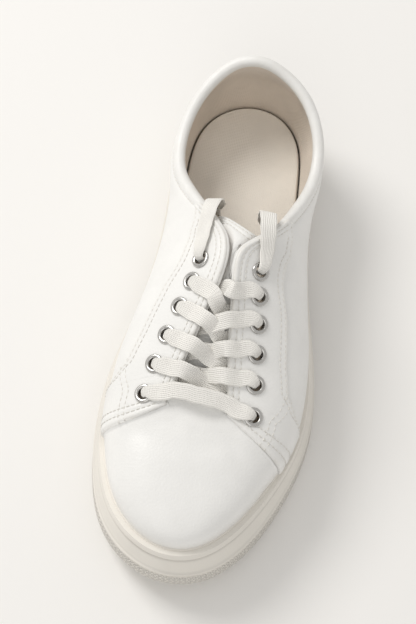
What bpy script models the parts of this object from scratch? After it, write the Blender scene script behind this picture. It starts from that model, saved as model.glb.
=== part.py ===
"""Low leather sneaker, left shoe, as an assembly of its sewn and moulded pieces.

Metres, +Z up. Toe at -Y, heel at +Y, inner side of the foot at -X, outer side at +X.
The origin is on the floor under the middle of the sole.
"""
import bpy
import bmesh
import numpy as np
from math import cos, pi, sin
from mathutils import Matrix, Vector

# Driving sizes
LENGTH = 0.272            # sole, toe tip to heel
BALL_WIDTH = 0.107        # sole, at its widest
COLLAR_HEIGHT = 0.073     # top of the heel above the floor
INSTEP_HEIGHT = 0.090     # top corner of the facings above the floor
TOE_SPRING = 0.009        # how far the toe tip lifts off the floor
CUP_HEIGHT = 0.027        # top edge of the rubber cup
OUTSOLE_HEIGHT = 0.013    # side strip of the outsole
FLOOR_HEIGHT = 0.0175     # top of the cup's floor, under the insole
INSOLE_THICKNESS = 0.0055
INSOLE_PLAY = 0.0006      # between insole and upper, all round
CUP_INSET = 0.0062        # the cup's inner wall, in from the sole's widest line
TOE_RUBBER = 0.0030       # extra rubber in front of the toes
TOE_WRAP = 0.0040         # extra height of the cup round the toes
ARCH_RISE = 0.0025        # hollow under the waist
TREAD_DEPTH = 0.0022
TREAD_GROOVE = 0.0030     # width of a tread groove
TREAD_PITCH = 0.0115
TREAD_MARGIN = 0.0095     # solid rubber left around the tread field
LEATHER = 0.0020          # wall of the upper
COLLAR_PAD = 0.0035       # extra thickness of the padded collar
FACING_LEATHER = 0.0011   # the facings sewn on the upper
FACING_WIDTH = 0.0315     # from throat edge to the facing's seam
FACING_EDGE = 0.0004      # the facing stops this short of the upper's top edge
QUARTER_STEP = 0.0006     # the quarters lie this much over the vamp
GAP = 0.0003              # clearance between pieces that touch
TONGUE_THICKNESS = 0.0035
TONGUE_ROOM = 0.0027      # between tongue and facing, for the lace
TONGUE_RISE = 0.026       # tongue past the top corner of the facings
TONGUE_REACH = 0.017      # how far the tongue reaches under each facing
TONGUE_SEAM = 0.008       # the tongue's sewn end, under the vamp
TONGUE_DIP = 0.0012       # the tongue sags this much between the facings
TONGUE_ARCH = 0.2         # fullness of its curve across the throat
EYELET_PAIRS = 6
EYELET_INSET = 0.0143     # eyelet centre in from the throat edge
EYELET_RADIUS = 0.0047
EYELET_BORE = 0.0027
EYELET_WALL = 0.0004
EYELET_FLANGE = 0.0008
EYELET_SPAN = {-1: (0.135, 0.900), 1: (0.115, 0.990)}   # first and last, shares of the throat
LACE_WIDTH = 0.0080
LACE_THICKNESS = 0.0014
LACE_TURN = 0.0032        # a strip bends down this far past the facing's edge
LACE_STOP = 0.0052        # and its solid ends this far from the other facing
BAR_RISE = 0.0036         # the bottom bar arches over the throat
BAR_SHIFT = 0.04          # share of the throat by which the bar sits below its eyelets
TIP_LENGTH = 0.015        # rolled tip on each loose end
TIP_WIDTH = 0.0038
TIP_THICKNESS = 0.0028

# How finely the forms are divided
SOLE_COLUMNS = 76
UPPER_COLUMNS = 88
DENSE = 1440
FACING_ROWS, FACING_COLUMNS = 10, 24
EYELET_SIDES = 12
TIP_SIDES = 8
LACE_STATIONS = 12
END_STATIONS = 30
FACING_FOOT = 0.045       # share of the wall's height where the facing's front ends over the cup

# Where the foot's long axis is split: toe spring, arch and flat spots, as shares of LENGTH
SPRING_START = -0.165
SPRING_POWER = 1.8
WRAP_START, WRAP_END = -0.22, -0.46
ARCH_FROM, ARCH_TO = -0.060, 0.200

# Grooved fields of the tread, from front to back, as shares of LENGTH
TREAD_FIELDS = [(-0.41, -0.09), (0.22, 0.42)]

# Sole outline, from the heel round the outer side to the toe and back.
# across is a share of half BALL_WIDTH, along a share of half LENGTH.
SOLE_OUTLINE = [
    # across, along
    (0.040, 1.000),
    (0.420, 0.950),
    (0.660, 0.820),
    (0.735, 0.625),
    (0.760, 0.400),
    (0.820, 0.180),
    (0.925, -0.040),
    (0.998, -0.265),
    (0.972, -0.440),
    (0.870, -0.590),
    (0.705, -0.745),
    (0.470, -0.890),
    (0.150, -0.985),
    (-0.190, -1.000),
    (-0.540, -0.940),
    (-0.800, -0.820),
    (-0.945, -0.650),
    (-0.998, -0.430),
    (-0.960, -0.235),
    (-0.835, -0.010),
    (-0.730, 0.210),
    (-0.690, 0.430),
    (-0.685, 0.650),
    (-0.590, 0.835),
    (-0.330, 0.955),
]

# Side of the sole, bottom to top: height as a share of the layer, inset in shares of CUP_INSET.
OUTSOLE_SIDE = [
    # height, inset
    (0.000, 0.480),
    (0.120, 0.190),
    (0.300, 0.090),
    (0.330, 0.000),
    (0.930, 0.110),
    (0.960, 0.230),
    (1.000, 0.250),
]
CUP_SIDE = [
    # height, inset
    (0.000, 0.250),
    (0.040, 0.100),
    (0.120, 0.110),
    (0.150, 0.220),
    (0.680, 0.480),
    (0.740, 0.640),
    (0.820, 0.500),
    (1.000, 0.660),
]

# Top edge of the upper, from the heel round the outer side: collar, outer facing, bottom of the
# throat, inner facing, collar. across and along as in SOLE_OUTLINE, height as a share of the way
# from the cup's edge up to the named height in the last column.
TOP_EDGE = [
    # across, along, height, of
    (0.060, 0.938, 1.000, COLLAR_HEIGHT),
    (0.340, 0.905, 0.918, COLLAR_HEIGHT),
    (0.560, 0.830, 0.822, COLLAR_HEIGHT),
    (0.690, 0.735, 0.733, COLLAR_HEIGHT),
    (0.745, 0.635, 0.674, COLLAR_HEIGHT),
    (0.730, 0.515, 0.666, COLLAR_HEIGHT),
    (0.660, 0.405, 0.787, COLLAR_HEIGHT),
    (0.560, 0.300, 0.705, INSTEP_HEIGHT),
    (0.455, 0.215, 0.825, INSTEP_HEIGHT),
    (0.340, 0.148, 0.925, INSTEP_HEIGHT),
    (0.225, 0.100, 0.975, INSTEP_HEIGHT),
    (0.130, 0.050, 1.000, INSTEP_HEIGHT),
    (0.105, -0.030, 0.950, INSTEP_HEIGHT),
    (0.120, -0.100, 0.880, INSTEP_HEIGHT),
    (0.135, -0.180, 0.795, INSTEP_HEIGHT),
    (0.150, -0.260, 0.710, INSTEP_HEIGHT),
    (0.172, -0.335, 0.630, INSTEP_HEIGHT),
    (0.195, -0.410, 0.555, INSTEP_HEIGHT),
    (0.205, -0.475, 0.505, INSTEP_HEIGHT),
    (0.110, -0.490, 0.500, INSTEP_HEIGHT),
    (-0.045, -0.486, 0.515, INSTEP_HEIGHT),
    (-0.205, -0.488, 0.520, INSTEP_HEIGHT),
    (-0.310, -0.470, 0.530, INSTEP_HEIGHT),
    (-0.280, -0.410, 0.580, INSTEP_HEIGHT),
    (-0.225, -0.335, 0.645, INSTEP_HEIGHT),
    (-0.165, -0.260, 0.720, INSTEP_HEIGHT),
    (-0.100, -0.180, 0.800, INSTEP_HEIGHT),
    (-0.035, -0.100, 0.880, INSTEP_HEIGHT),
    (0.015, -0.025, 0.945, INSTEP_HEIGHT),
    (0.030, 0.050, 0.985, INSTEP_HEIGHT),
    (-0.010, 0.120, 0.955, INSTEP_HEIGHT),
    (-0.090, 0.180, 0.880, INSTEP_HEIGHT),
    (-0.190, 0.240, 0.790, INSTEP_HEIGHT),
    (-0.320, 0.310, 0.680, INSTEP_HEIGHT),
    (-0.450, 0.385, 0.787, COLLAR_HEIGHT),
    (-0.560, 0.465, 0.698, COLLAR_HEIGHT),
    (-0.610, 0.565, 0.671, COLLAR_HEIGHT),
    (-0.590, 0.680, 0.698, COLLAR_HEIGHT),
    (-0.510, 0.780, 0.767, COLLAR_HEIGHT),
    (-0.370, 0.865, 0.863, COLLAR_HEIGHT),
    (-0.170, 0.925, 0.959, COLLAR_HEIGHT),
]

# Which place of the top edge stands over which place of the sole outline. Both run once round
# from the heel. top counts rows of TOP_EDGE, along the half LENGTH of the sole on that side.
PAIRS = [
    # top row, side, along
    (0, 1, 1.000),
    (4, 1, 0.600),
    (8, 1, 0.180),
    (12, 1, -0.090),
    (16, 1, -0.370),
    (18, 1, -0.610),
    (20, 1, -1.000),
    (22, -1, -0.545),
    (24, -1, -0.360),
    (28, -1, -0.010),
    (32, -1, 0.250),
    (36, -1, 0.580),
]

# Bend of the upper's wall between the cup's edge and its own top edge, by place around the sole.
# swell and flare are shares of BALL_WIDTH, sweep of LENGTH, rise and drop of the wall's height.
WALL_BEND = [
    # top row, swell, rise, flare, drop, sweep
    (0, 0.050, 0.45, 0.045, 0.38, 0.000),
    (4, 0.055, 0.42, 0.045, 0.35, 0.000),
    (8, 0.080, 0.50, 0.100, 0.30, 0.000),
    (12, 0.070, 0.56, 0.215, 0.20, 0.000),
    (16, 0.040, 0.60, 0.235, 0.15, -0.006),
    (18, 0.030, 0.66, 0.200, 0.12, -0.022),
    (20, 0.030, 0.80, 0.290, 0.22, 0.000),
    (22, 0.030, 0.66, 0.180, 0.12, -0.034),
    (24, 0.035, 0.60, 0.200, 0.15, -0.010),
    (28, 0.055, 0.56, 0.190, 0.20, 0.000),
    (32, 0.080, 0.50, 0.085, 0.30, 0.000),
    (36, 0.055, 0.42, 0.040, 0.35, 0.000),
]

# Lower edge of each facing, by rows of TOP_EDGE: width as a share of FACING_WIDTH. At the front
# the facing runs down to the cup.
OUTER_FACING = [
    # top row, width
    (7.5, 0.14),
    (8.2, 0.42),
    (9.4, 0.72),
    (11.0, 0.92),
    (13.0, 1.00),
    (15.0, 1.00),
    (16.0, 1.05),
    (16.5, 1.30),
    (16.8, 1.80),
    (17.0, 3.00),
    (18.0, 3.00),
]
INNER_FACING = [
    (32.8, 0.14),
    (32.0, 0.38),
    (30.8, 0.66),
    (29.4, 0.86),
    (27.5, 1.00),
    (25.5, 1.00),
    (24.4, 1.05),
    (23.9, 1.30),
    (23.6, 1.80),
    (23.3, 3.00),
    (22.0, 3.00),
]


# Loose lace ends, from the top eyelet over the top edge and down inside the shoe: points along the
# middle of the lace and the way its face looks there. Metres, in the frame of the part.
LACE_END_INNER = [
    # point, facing
    ((-0.0123, 0.0038, 0.0833), (-0.58, -0.03, 0.81)),
    ((-0.0120, 0.0100, 0.0830), (-0.60, 0.00, 0.80)),
    ((-0.0115, 0.0170, 0.0822), (-0.60, 0.05, 0.79)),
    ((-0.0111, 0.0240, 0.0812), (-0.58, 0.08, 0.80)),
    ((-0.0106, 0.0295, 0.0808), (-0.50, 0.12, 0.85)),
    ((-0.0099, 0.0345, 0.0802), (-0.38, 0.30, 0.87)),
    ((-0.0091, 0.0385, 0.0776), (-0.22, 0.66, 0.70)),
    ((-0.0083, 0.0410, 0.0735), (-0.08, 0.90, 0.42)),
    ((-0.0078, 0.0420, 0.0682), (0.00, 0.98, 0.15)),
    ((-0.0076, 0.0423, 0.0632), (0.00, 1.00, 0.05)),
]
LACE_END_OUTER = [
    ((0.0200, 0.0005, 0.0849), (0.54, -0.17, 0.82)),
    ((0.0202, 0.0076, 0.0848), (0.54, -0.15, 0.83)),
    ((0.0200, 0.0139, 0.0862), (0.50, -0.12, 0.86)),
    ((0.0195, 0.0200, 0.0880), (0.38, -0.10, 0.92)),
    ((0.0189, 0.0255, 0.0881), (0.25, 0.10, 0.96)),
    ((0.0183, 0.0303, 0.0858), (0.15, 0.50, 0.85)),
    ((0.0178, 0.0335, 0.0812), (0.06, 0.82, 0.57)),
    ((0.0174, 0.0352, 0.0755), (0.02, 0.95, 0.25)),
    ((0.0172, 0.0358, 0.0695), (0.00, 0.99, 0.08)),
    ((0.0171, 0.0360, 0.0632), (0.00, 1.00, 0.03)),
]


def clear_scene():
    for item in list(bpy.data.objects):
        bpy.data.objects.remove(item)


def new_collection(name):
    group = bpy.data.collections.new(name)
    bpy.context.scene.collection.children.link(group)
    return group


def material(name, colour, roughness, metallic=0.0):
    mat = bpy.data.materials.new(name)
    mat.use_nodes = True
    shader = mat.node_tree.nodes["Principled BSDF"]
    shader.inputs["Base Color"].default_value = (*colour, 1.0)
    shader.inputs["Roughness"].default_value = roughness
    shader.inputs["Metallic"].default_value = metallic
    return mat


def smoothstep(value, low, high):
    share = np.clip((value - low) / (high - low), 0.0, 1.0)
    return share * share * (3.0 - 2.0 * share)


def periodic_spline(knots, values, period):
    """A smooth closed curve through the values, as a function of the place on it."""
    knots = np.asarray(knots, float)
    values = np.asarray(values, float).reshape(len(knots), -1)
    count = len(knots)
    step = np.diff(np.append(knots, knots[0] + period))
    slope = (np.roll(values, -1, 0) - values) / step[:, None]
    matrix = np.zeros((count, count))
    for i in range(count):
        before, after = (i - 1) % count, (i + 1) % count
        matrix[i, i] = 2.0 * (step[before] + step[i])
        matrix[i, before] += step[before]
        matrix[i, after] += step[i]
    bend = np.linalg.solve(matrix, 6.0 * (slope - np.roll(slope, 1, 0)))

    def at(place):
        place = (np.asarray(place, float) - knots[0]) % period + knots[0]
        i = np.clip(np.searchsorted(knots, place, side="right") - 1, 0, count - 1)
        j = (i + 1) % count
        h = step[i][:, None]
        a = (place - knots[i])[:, None]
        b = h - a
        return ((bend[i] * b ** 3 + bend[j] * a ** 3) / (6.0 * h)
                + (values[i] / h - bend[i] * h / 6.0) * b
                + (values[j] / h - bend[j] * h / 6.0) * a)

    return at


def closed_curve(rows):
    """Points evenly spaced along the smooth closed curve through the rows, and where rows lie."""
    rows = np.asarray(rows, float)
    chord = np.linalg.norm(np.roll(rows, -1, 0) - rows, axis=1)
    knots = np.concatenate([[0.0], np.cumsum(chord)[:-1]])
    curve = periodic_spline(knots, rows, chord.sum())
    fine = np.linspace(0.0, chord.sum(), 4 * DENSE + 1)
    points = curve(fine)
    run = np.concatenate([[0.0], np.cumsum(np.linalg.norm(np.diff(points, axis=0), axis=1))])
    even = np.linspace(0.0, run[-1], DENSE, endpoint=False)
    spaced = np.stack([np.interp(even, run, column) for column in points.T], 1)
    places = np.interp(knots, fine, run) / run[-1]
    return spaced, places


def along_curve(points, place):
    """The place on an evenly spaced closed curve, 0 to 1 once round."""
    place = np.asarray(place, float) % 1.0
    grid = np.arange(len(points) + 1) / len(points)
    closed = np.vstack([points, points[:1]])
    return np.stack([np.interp(place, grid, column) for column in closed.T], -1)


def sole_outline():
    """The sole's widest line, exactly LENGTH long and BALL_WIDTH wide, and its outward normals."""
    points, _ = closed_curve([(x * BALL_WIDTH / 2, y * LENGTH / 2) for x, y in SOLE_OUTLINE])
    low, high = points.min(0), points.max(0)
    points = (points - (low + high) / 2) / (high - low) * np.array([BALL_WIDTH, LENGTH])
    tangent = np.roll(points, -1, 0) - np.roll(points, 1, 0)
    normal = np.stack([-tangent[:, 1], tangent[:, 0]], 1)
    normal /= np.linalg.norm(normal, axis=1)[:, None]
    if normal[0, 1] < 0.0:
        normal = -normal
    return points, normal


OUTLINE, OUTLINE_NORMAL = sole_outline()


def spring(y):
    """Lift of the whole sole towards the toe tip."""
    start = SPRING_START * LENGTH
    run = start + LENGTH / 2
    return TOE_SPRING * (np.clip(start - np.asarray(y, float), 0.0, None) / run) ** SPRING_POWER


def arch(y):
    """Hollow of the sole's underside between heel and ball."""
    share = np.clip((np.asarray(y, float) / LENGTH - ARCH_FROM) / (ARCH_TO - ARCH_FROM), 0.0, 1.0)
    return ARCH_RISE * np.sin(pi * share) ** 2


def toe_wrap(y):
    """0 along the foot, rising to 1 round the toes."""
    return smoothstep(-np.asarray(y, float) / LENGTH, -WRAP_START, -WRAP_END)


def sole_ring(inset, height, places, hollow=0.0, play=0.0, wrap=0.0):
    """One closed ring of the sole. inset counts cup insets, play is a plain distance more,
    wrap is the share of the extra height round the toes."""
    y = along_curve(OUTLINE, places)[:, 1]
    depth = inset * (CUP_INSET + TOE_RUBBER * toe_wrap(y)) + play
    flat = along_curve(OUTLINE, places) - depth[:, None] * along_curve(OUTLINE_NORMAL, places)
    lift = height + spring(flat[:, 1]) + hollow * arch(flat[:, 1]) + wrap * TOE_WRAP * toe_wrap(y)
    return np.column_stack([flat, lift])


def even_places(count):
    return np.arange(count) / count


def add_mesh(name, points, faces, mat, group):
    mesh = bpy.data.meshes.new(name)
    mesh.from_pydata([tuple(p) for p in points], [], faces)
    cage = bmesh.new()
    cage.from_mesh(mesh)
    bmesh.ops.remove_doubles(cage, verts=cage.verts, dist=1e-7)
    bmesh.ops.recalc_face_normals(cage, faces=cage.faces)
    cage.to_mesh(mesh)
    cage.free()
    mesh.materials.append(mat)
    mesh.shade_smooth()
    mesh.set_sharp_from_angle(angle=0.6)
    piece = bpy.data.objects.new(name, mesh)
    group.objects.link(piece)
    return piece


def ladder_cap(first, count):
    """Faces across a closed ring that starts at one end: rungs join its two sides."""
    faces = [(first, first + 1, first + count - 1)]
    for i in range(1, count // 2 - 1):
        faces.append((first + i, first + i + 1, first + count - i - 1, first + count - i))
    middle = count // 2
    faces.append((first + middle - 1, first + middle, first + middle + 1))
    return faces


def ring_solid(name, rings, mat, group, closed_tube=False):
    """A solid through closed rings: capped at both ends, or bent round into a hollow wall."""
    count = len(rings[0])
    points = np.vstack(rings)
    faces = []
    last = len(rings) if closed_tube else len(rings) - 1
    for k in range(last):
        a, b = k * count, ((k + 1) % len(rings)) * count
        for i in range(count):
            j = (i + 1) % count
            faces.append((a + i, a + j, b + j, b + i))
    if not closed_tube:
        faces += ladder_cap(0, count)
        faces += ladder_cap((len(rings) - 1) * count, count)
    return add_mesh(name, points, faces, mat, group)


def boolean(piece, cutters, operation):
    """Each cutter is taken from the piece, or joined to it, in turn."""
    for cutter in cutters:
        step = piece.modifiers.new(cutter.name, "BOOLEAN")
        step.operation = operation
        step.object = cutter
        step.solver = "EXACT"


def hide_cutter(cutter):
    cutter.hide_render = True
    cutter.display_type = "WIRE"
    return cutter


def tread_groove(index, y_middle, group):
    """Cutter of one wavy groove across the underside, following spring and arch."""
    side = along_curve(OUTLINE, even_places(DENSE))
    near = side[np.abs(side[:, 1] - y_middle) < TREAD_PITCH]
    low, high = near[:, 0].min() + TREAD_MARGIN, near[:, 0].max() - TREAD_MARGIN
    stations = 9
    rings = []
    for share in np.linspace(0.0, 1.0, stations):
        x = low + (high - low) * share
        y = y_middle + 0.28 * TREAD_PITCH * sin(share * 4.0 * pi)
        top = TREAD_DEPTH + spring(y) + arch(y)
        front, back = y - TREAD_GROOVE / 2, y + TREAD_GROOVE / 2
        rings.append(np.array([(x, front, -TREAD_DEPTH), (x, back, -TREAD_DEPTH),
                               (x, back, top), (x, front, top)]))
    return hide_cutter(ring_solid(f"groove_cutter_{index:02d}", rings, None, group))


def build_outsole(group, cutters):
    """Rubber bottom with its side strip, arch, toe spring and grooved tread."""
    places = even_places(SOLE_COLUMNS)
    rings = []
    for height, inset in OUTSOLE_SIDE:
        hollow = 1.0 if height == 0.0 else 0.0
        rings.append(sole_ring(inset, height * OUTSOLE_HEIGHT, places, hollow))
    mat = material("outsole_rubber", (0.66, 0.62, 0.55), 0.62)
    outsole = ring_solid("outsole", rings, mat, group)
    index = 0
    grooves = []
    for start, end in TREAD_FIELDS:
        for k in range(int((end - start) * LENGTH / TREAD_PITCH) + 1):
            grooves.append(tread_groove(index, start * LENGTH + k * TREAD_PITCH, cutters))
            index += 1
    boolean(outsole, grooves, "DIFFERENCE")
    return outsole


def build_midsole(group):
    """Rubber cup: a floor across the foot, and a side wall with bead, groove and ridge."""
    places = even_places(SOLE_COLUMNS)
    bottom = OUTSOLE_HEIGHT + GAP
    rise = CUP_HEIGHT - bottom
    rings = []
    for height, inset in CUP_SIDE:
        rings.append(sole_ring(inset, bottom + height * rise, places, wrap=height))
    rings.append(sole_ring(1.0, CUP_HEIGHT, places, wrap=1.0))
    rings.append(sole_ring(1.0, FLOOR_HEIGHT, places))
    mat = material("midsole_rubber", (0.80, 0.76, 0.68), 0.5)
    return ring_solid("midsole", rings, mat, group)


def build_insole(group):
    """Flat padded sock on the cup's floor, inside the upper."""
    places = even_places(SOLE_COLUMNS)
    edge = GAP + LEATHER + INSOLE_PLAY
    low = FLOOR_HEIGHT + GAP
    top = low + INSOLE_THICKNESS
    rounding = 0.15 * INSOLE_THICKNESS
    rings = [
        sole_ring(1.0, low, places, play=edge),
        sole_ring(1.0, top - rounding, places, play=edge),
        sole_ring(1.0, top, places, play=edge + rounding),
    ]
    return ring_solid("insole", rings, material("insole_foam", (0.62, 0.55, 0.45), 0.85), group)


def place_on_outline(side, along):
    """Place round the sole outline, 0 to 1, of a point given by its side and its y."""
    count = len(OUTLINE)
    order = np.arange(count)
    toe = int(np.argmin(OUTLINE[:, 1]))
    if abs(along) == 1.0:
        return 0.0 if along > 0.0 else toe / count
    half = order[(order < toe) if side > 0 else (order > toe)]
    nearest = half[np.argmin(np.abs(OUTLINE[half, 1] - along * LENGTH / 2))]
    return nearest / count


def top_edge():
    """The top edge of the upper as an evenly spaced loop, and each row's place on it."""
    rows = [(across * BALL_WIDTH / 2, along * LENGTH / 2, CUP_HEIGHT + height * (full - CUP_HEIGHT))
            for across, along, height, full in TOP_EDGE]
    return closed_curve(rows)


TOP, TOP_PLACES = top_edge()


def pair_up():
    """Periodic function from a place around the upper to (shift of sole place, shift of top place)."""
    knots, shifts = [], []
    for row, side, along in PAIRS:
        sole_place = place_on_outline(side, along)
        top_place = TOP_PLACES[row]
        around = (sole_place + top_place) / 2
        knots.append(around)
        shifts.append((sole_place - around, top_place - around))
    return periodic_spline(knots, shifts, 1.0)


PAIRING = pair_up()


def row_place(row):
    """Place around the upper of a row of TOP_EDGE."""
    around = np.linspace(0.0, 1.0, DENSE, endpoint=False)
    top_place = around + PAIRING(around)[:, 1]
    return float(np.interp(TOP_PLACES[row], top_place, around))


WALL_BENDS = periodic_spline([row_place(row[0]) for row in WALL_BEND],
                             [row[1:] for row in WALL_BEND], 1.0)


def bite_line(place):
    """Where the upper leaves the cup: points, and their outward normals."""
    points = sole_ring(1.0, CUP_HEIGHT, place, play=GAP, wrap=1.0)
    normal = np.column_stack([along_curve(OUTLINE_NORMAL, place), np.zeros(len(place))])
    return points, normal


def upper_surface(around, up):
    """Points of the upper's outer face. around runs 0 to 1 from the heel over the outer side,
    up runs from 0 at the cup's edge to 1 at the top edge; below 0 it goes down into the cup."""
    around, up = np.broadcast_arrays(np.asarray(around, float), np.asarray(up, float))
    shape = around.shape
    around, up = around.ravel(), up.ravel()
    shift = PAIRING(around)
    bite, normal = bite_line(around + shift[:, 0])
    top = along_curve(TOP, around + shift[:, 1])
    swell, rise, flare, drop, sweep = WALL_BENDS(around).T
    height = top[:, 2] - bite[:, 2]
    upward = np.array([0.0, 0.0, 1.0])
    back = np.array([0.0, LENGTH, 0.0])
    low_handle = bite + normal * (swell * BALL_WIDTH)[:, None] + upward * (rise * height)[:, None]
    high_handle = top + normal * (flare * BALL_WIDTH)[:, None] - upward * (drop * height)[:, None]
    low_handle += back * 0.4 * sweep[:, None]
    high_handle += back * sweep[:, None]
    t = np.clip(up, 0.0, 1.0)[:, None]
    points = (bite * (1 - t) ** 3 + 3 * low_handle * t * (1 - t) ** 2
              + 3 * high_handle * t ** 2 * (1 - t) + top * t ** 3)
    foot = spring(bite[:, 1]) + FLOOR_HEIGHT + GAP
    points[:, 2] += np.clip(up, -1.0, 0.0) * (bite[:, 2] - foot)
    return points.reshape(*shape, 3)


def upper_normal(around, up):
    """Outward normals of the upper's outer face."""
    step = 0.004
    around, up = np.broadcast_arrays(np.asarray(around, float), np.asarray(up, float))
    high = np.clip(up + step, None, 1.0)
    low = np.clip(up - step, 0.0, None)
    flat = high <= low
    high, low = np.where(flat, step, high), np.where(flat, 0.0, low)
    upwards = upper_surface(around, high) - upper_surface(around, low)
    sideways = upper_surface(around + step, up) - upper_surface(around - step, up)
    normal = np.cross(upwards, sideways)
    return normal / np.linalg.norm(normal, axis=-1)[..., None]


OUTER_FRONT = row_place(18)     # seam between vamp and outer quarter
INNER_FRONT = row_place(22)     # seam between vamp and inner quarter
OUTER_CORNER = row_place(11)    # top corner of the outer facing
INNER_CORNER = row_place(29)


def collar_share(around):
    """1 on the padded collar, 0 on the facings and the vamp."""
    to_outer = smoothstep(np.asarray(around), OUTER_CORNER - 0.10, OUTER_CORNER - 0.02)
    to_inner = smoothstep(np.asarray(around), INNER_CORNER + 0.02, INNER_CORNER + 0.10)
    return 1.0 - to_outer + to_inner


def vamp_share(around):
    """1 on the vamp between the two quarter seams, stepping to 0 on the quarters."""
    edge = 0.0015
    after = smoothstep(np.asarray(around), OUTER_FRONT, OUTER_FRONT + edge)
    before = smoothstep(np.asarray(around), INNER_FRONT - edge, INNER_FRONT)
    return after - before


def wall_thickness(around, up):
    pad = COLLAR_PAD * collar_share(around) * smoothstep(np.asarray(up), 0.30, 0.85)
    return LEATHER + pad


def outer_face(around, up):
    """The outer face with the vamp stepped under the quarters."""
    inward = QUARTER_STEP * vamp_share(around) * smoothstep(np.asarray(up), 0.0, 0.08)
    return upper_surface(around, up) - upper_normal(around, up) * np.asarray(inward)[..., None]


def inner_face(around, up):
    thick = np.asarray(wall_thickness(around, up))
    return upper_surface(around, up) - upper_normal(around, up) * thick[..., None]


def upper_places():
    """Columns around the upper, with two close ones at each seam between vamp and quarter."""
    places = np.linspace(0.0, 1.0, UPPER_COLUMNS, endpoint=False)
    seams = [OUTER_FRONT, OUTER_FRONT + 0.0015, INNER_FRONT - 0.0015, INNER_FRONT]
    clear = 0.5 / UPPER_COLUMNS
    kept = [p for p in places if min(abs(p - s) for s in seams) > clear]
    return np.array(sorted(kept + seams))


def build_upper(group):
    """One hollow leather wall, open at collar, throat and underneath."""
    places = upper_places()
    outer_levels = [-1.0, 0.0, 0.08, 0.22, 0.40, 0.60, 0.80, 0.95]
    inner_levels = [0.96, 0.75, 0.5, 0.25, 0.0, -1.0]
    rings = [outer_face(places, level) for level in outer_levels]
    outer, inner = outer_face(places, 0.99), inner_face(places, 0.99)
    crest = upper_surface(places, 1.0)
    rings.append(outer * 0.85 + inner * 0.15 + (crest - outer) * 0.5)
    rings.append(outer * 0.45 + inner * 0.55 + (crest - outer))
    rings += [inner_face(places, level) for level in inner_levels]
    mat = material("upper_leather", (0.83, 0.82, 0.79), 0.42)
    return ring_solid("upper", rings, mat, group, closed_tube=True)


def around_of_row(row):
    """Place around the upper of a place between two rows of TOP_EDGE."""
    low = int(row)
    high = min(low + 1, len(TOP_EDGE) - 1)
    top_place = TOP_PLACES[low] + (TOP_PLACES[high] - TOP_PLACES[low]) * (row - low)
    around = np.linspace(0.0, 1.0, DENSE, endpoint=False)
    return float(np.interp(top_place, around + PAIRING(around)[:, 1], around))


def up_from_top(around, distance):
    """How far up the wall a point lies whose distance down from the top edge is given."""
    levels = np.linspace(1.0, 0.0, 81)
    line = upper_surface(around, levels)
    run = np.concatenate([[0.0], np.cumsum(np.linalg.norm(np.diff(line, axis=0), axis=1))])
    return float(np.interp(distance, run, levels))


def grid_solid(name, outer, inner, mat, group):
    """A thin solid between two grids of points of the same size, closed along its border."""
    rows, columns = outer.shape[:2]
    points = np.vstack([outer.reshape(-1, 3), inner.reshape(-1, 3)])
    under = rows * columns
    faces = []
    for i in range(rows - 1):
        for j in range(columns - 1):
            a, b = i * columns + j, (i + 1) * columns + j
            faces.append((a, a + 1, b + 1, b))
            faces.append((under + b, under + b + 1, under + a + 1, under + a))
    border = [j for j in range(columns)]
    border += [i * columns + columns - 1 for i in range(1, rows)]
    border += [(rows - 1) * columns + j for j in range(columns - 2, -1, -1)]
    border += [i * columns for i in range(rows - 2, 0, -1)]
    for k, a in enumerate(border):
        b = border[(k + 1) % len(border)]
        faces.append((b, a, under + a, under + b))
    return add_mesh(name, points, faces, mat, group)


def build_facing(name, table, group):
    """Leather facing along the throat, an even distance over the upper's own face."""
    rows = np.array(table)
    columns = FACING_COLUMNS
    share = np.linspace(0.0, len(rows) - 1.0, columns)
    top_rows = np.interp(share, np.arange(len(rows)), rows[:, 0])
    widths = np.interp(share, np.arange(len(rows)), rows[:, 1]) * FACING_WIDTH
    outer, inner = [], []
    for top_row, width in zip(top_rows, widths):
        around = around_of_row(top_row)
        low = max(up_from_top(around, width), FACING_FOOT)
        high = up_from_top(around, FACING_EDGE)
        up = np.linspace(high, low, FACING_ROWS)
        face = upper_surface(around, up)
        normal = upper_normal(around, up)
        inner.append(face + normal * GAP)
        outer.append(face + normal * (GAP + FACING_LEATHER))
    mat = material(f"{name}_leather", (0.80, 0.79, 0.76), 0.42)
    return grid_solid(name, np.array(outer), np.array(inner), mat, group)


def throat_point(side, share, distance, offset):
    """Point near the throat: share 0 at its bottom corner to 1 at the facing's top corner,
    a distance down from the edge (below 0: out over the throat), and an offset out of the
    upper's face. Also the normal."""
    bottom, top = (18, 11.5) if side > 0 else (22, 29.3)
    around = around_of_row(bottom + (top - bottom) * share)
    up = up_from_top(around, max(distance, 0.0))
    normal = upper_normal(around, up)
    point = upper_surface(around, up) + normal * offset
    if distance < 0.0:
        edge_way = upper_surface(around, 1.0) - upper_surface(around, 0.97)
        point = point - edge_way / np.linalg.norm(edge_way) * distance
    return point, normal


def eyelet_share(side, pair):
    """Share of the throat at which an eyelet sits; pair counts from 0 at the bottom."""
    first, last = EYELET_SPAN[side]
    return first + (last - first) * pair / (EYELET_PAIRS - 1)


def eyelet_places():
    """Name, centre on the facing's face and outward normal of each eyelet."""
    places = []
    for side, word in ((-1, "inner"), (1, "outer")):
        for k in range(EYELET_PAIRS):
            point, normal = throat_point(side, eyelet_share(side, k), EYELET_INSET,
                                         GAP + FACING_LEATHER)
            places.append((f"eyelet_{word}_{k + 1}", Vector(point), Vector(normal)))
    return places


def upright(point, normal):
    """Placing matrix with its Z along the normal."""
    return Matrix.Translation(point) @ normal.to_track_quat("Z", "Y").to_matrix().to_4x4()


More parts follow.
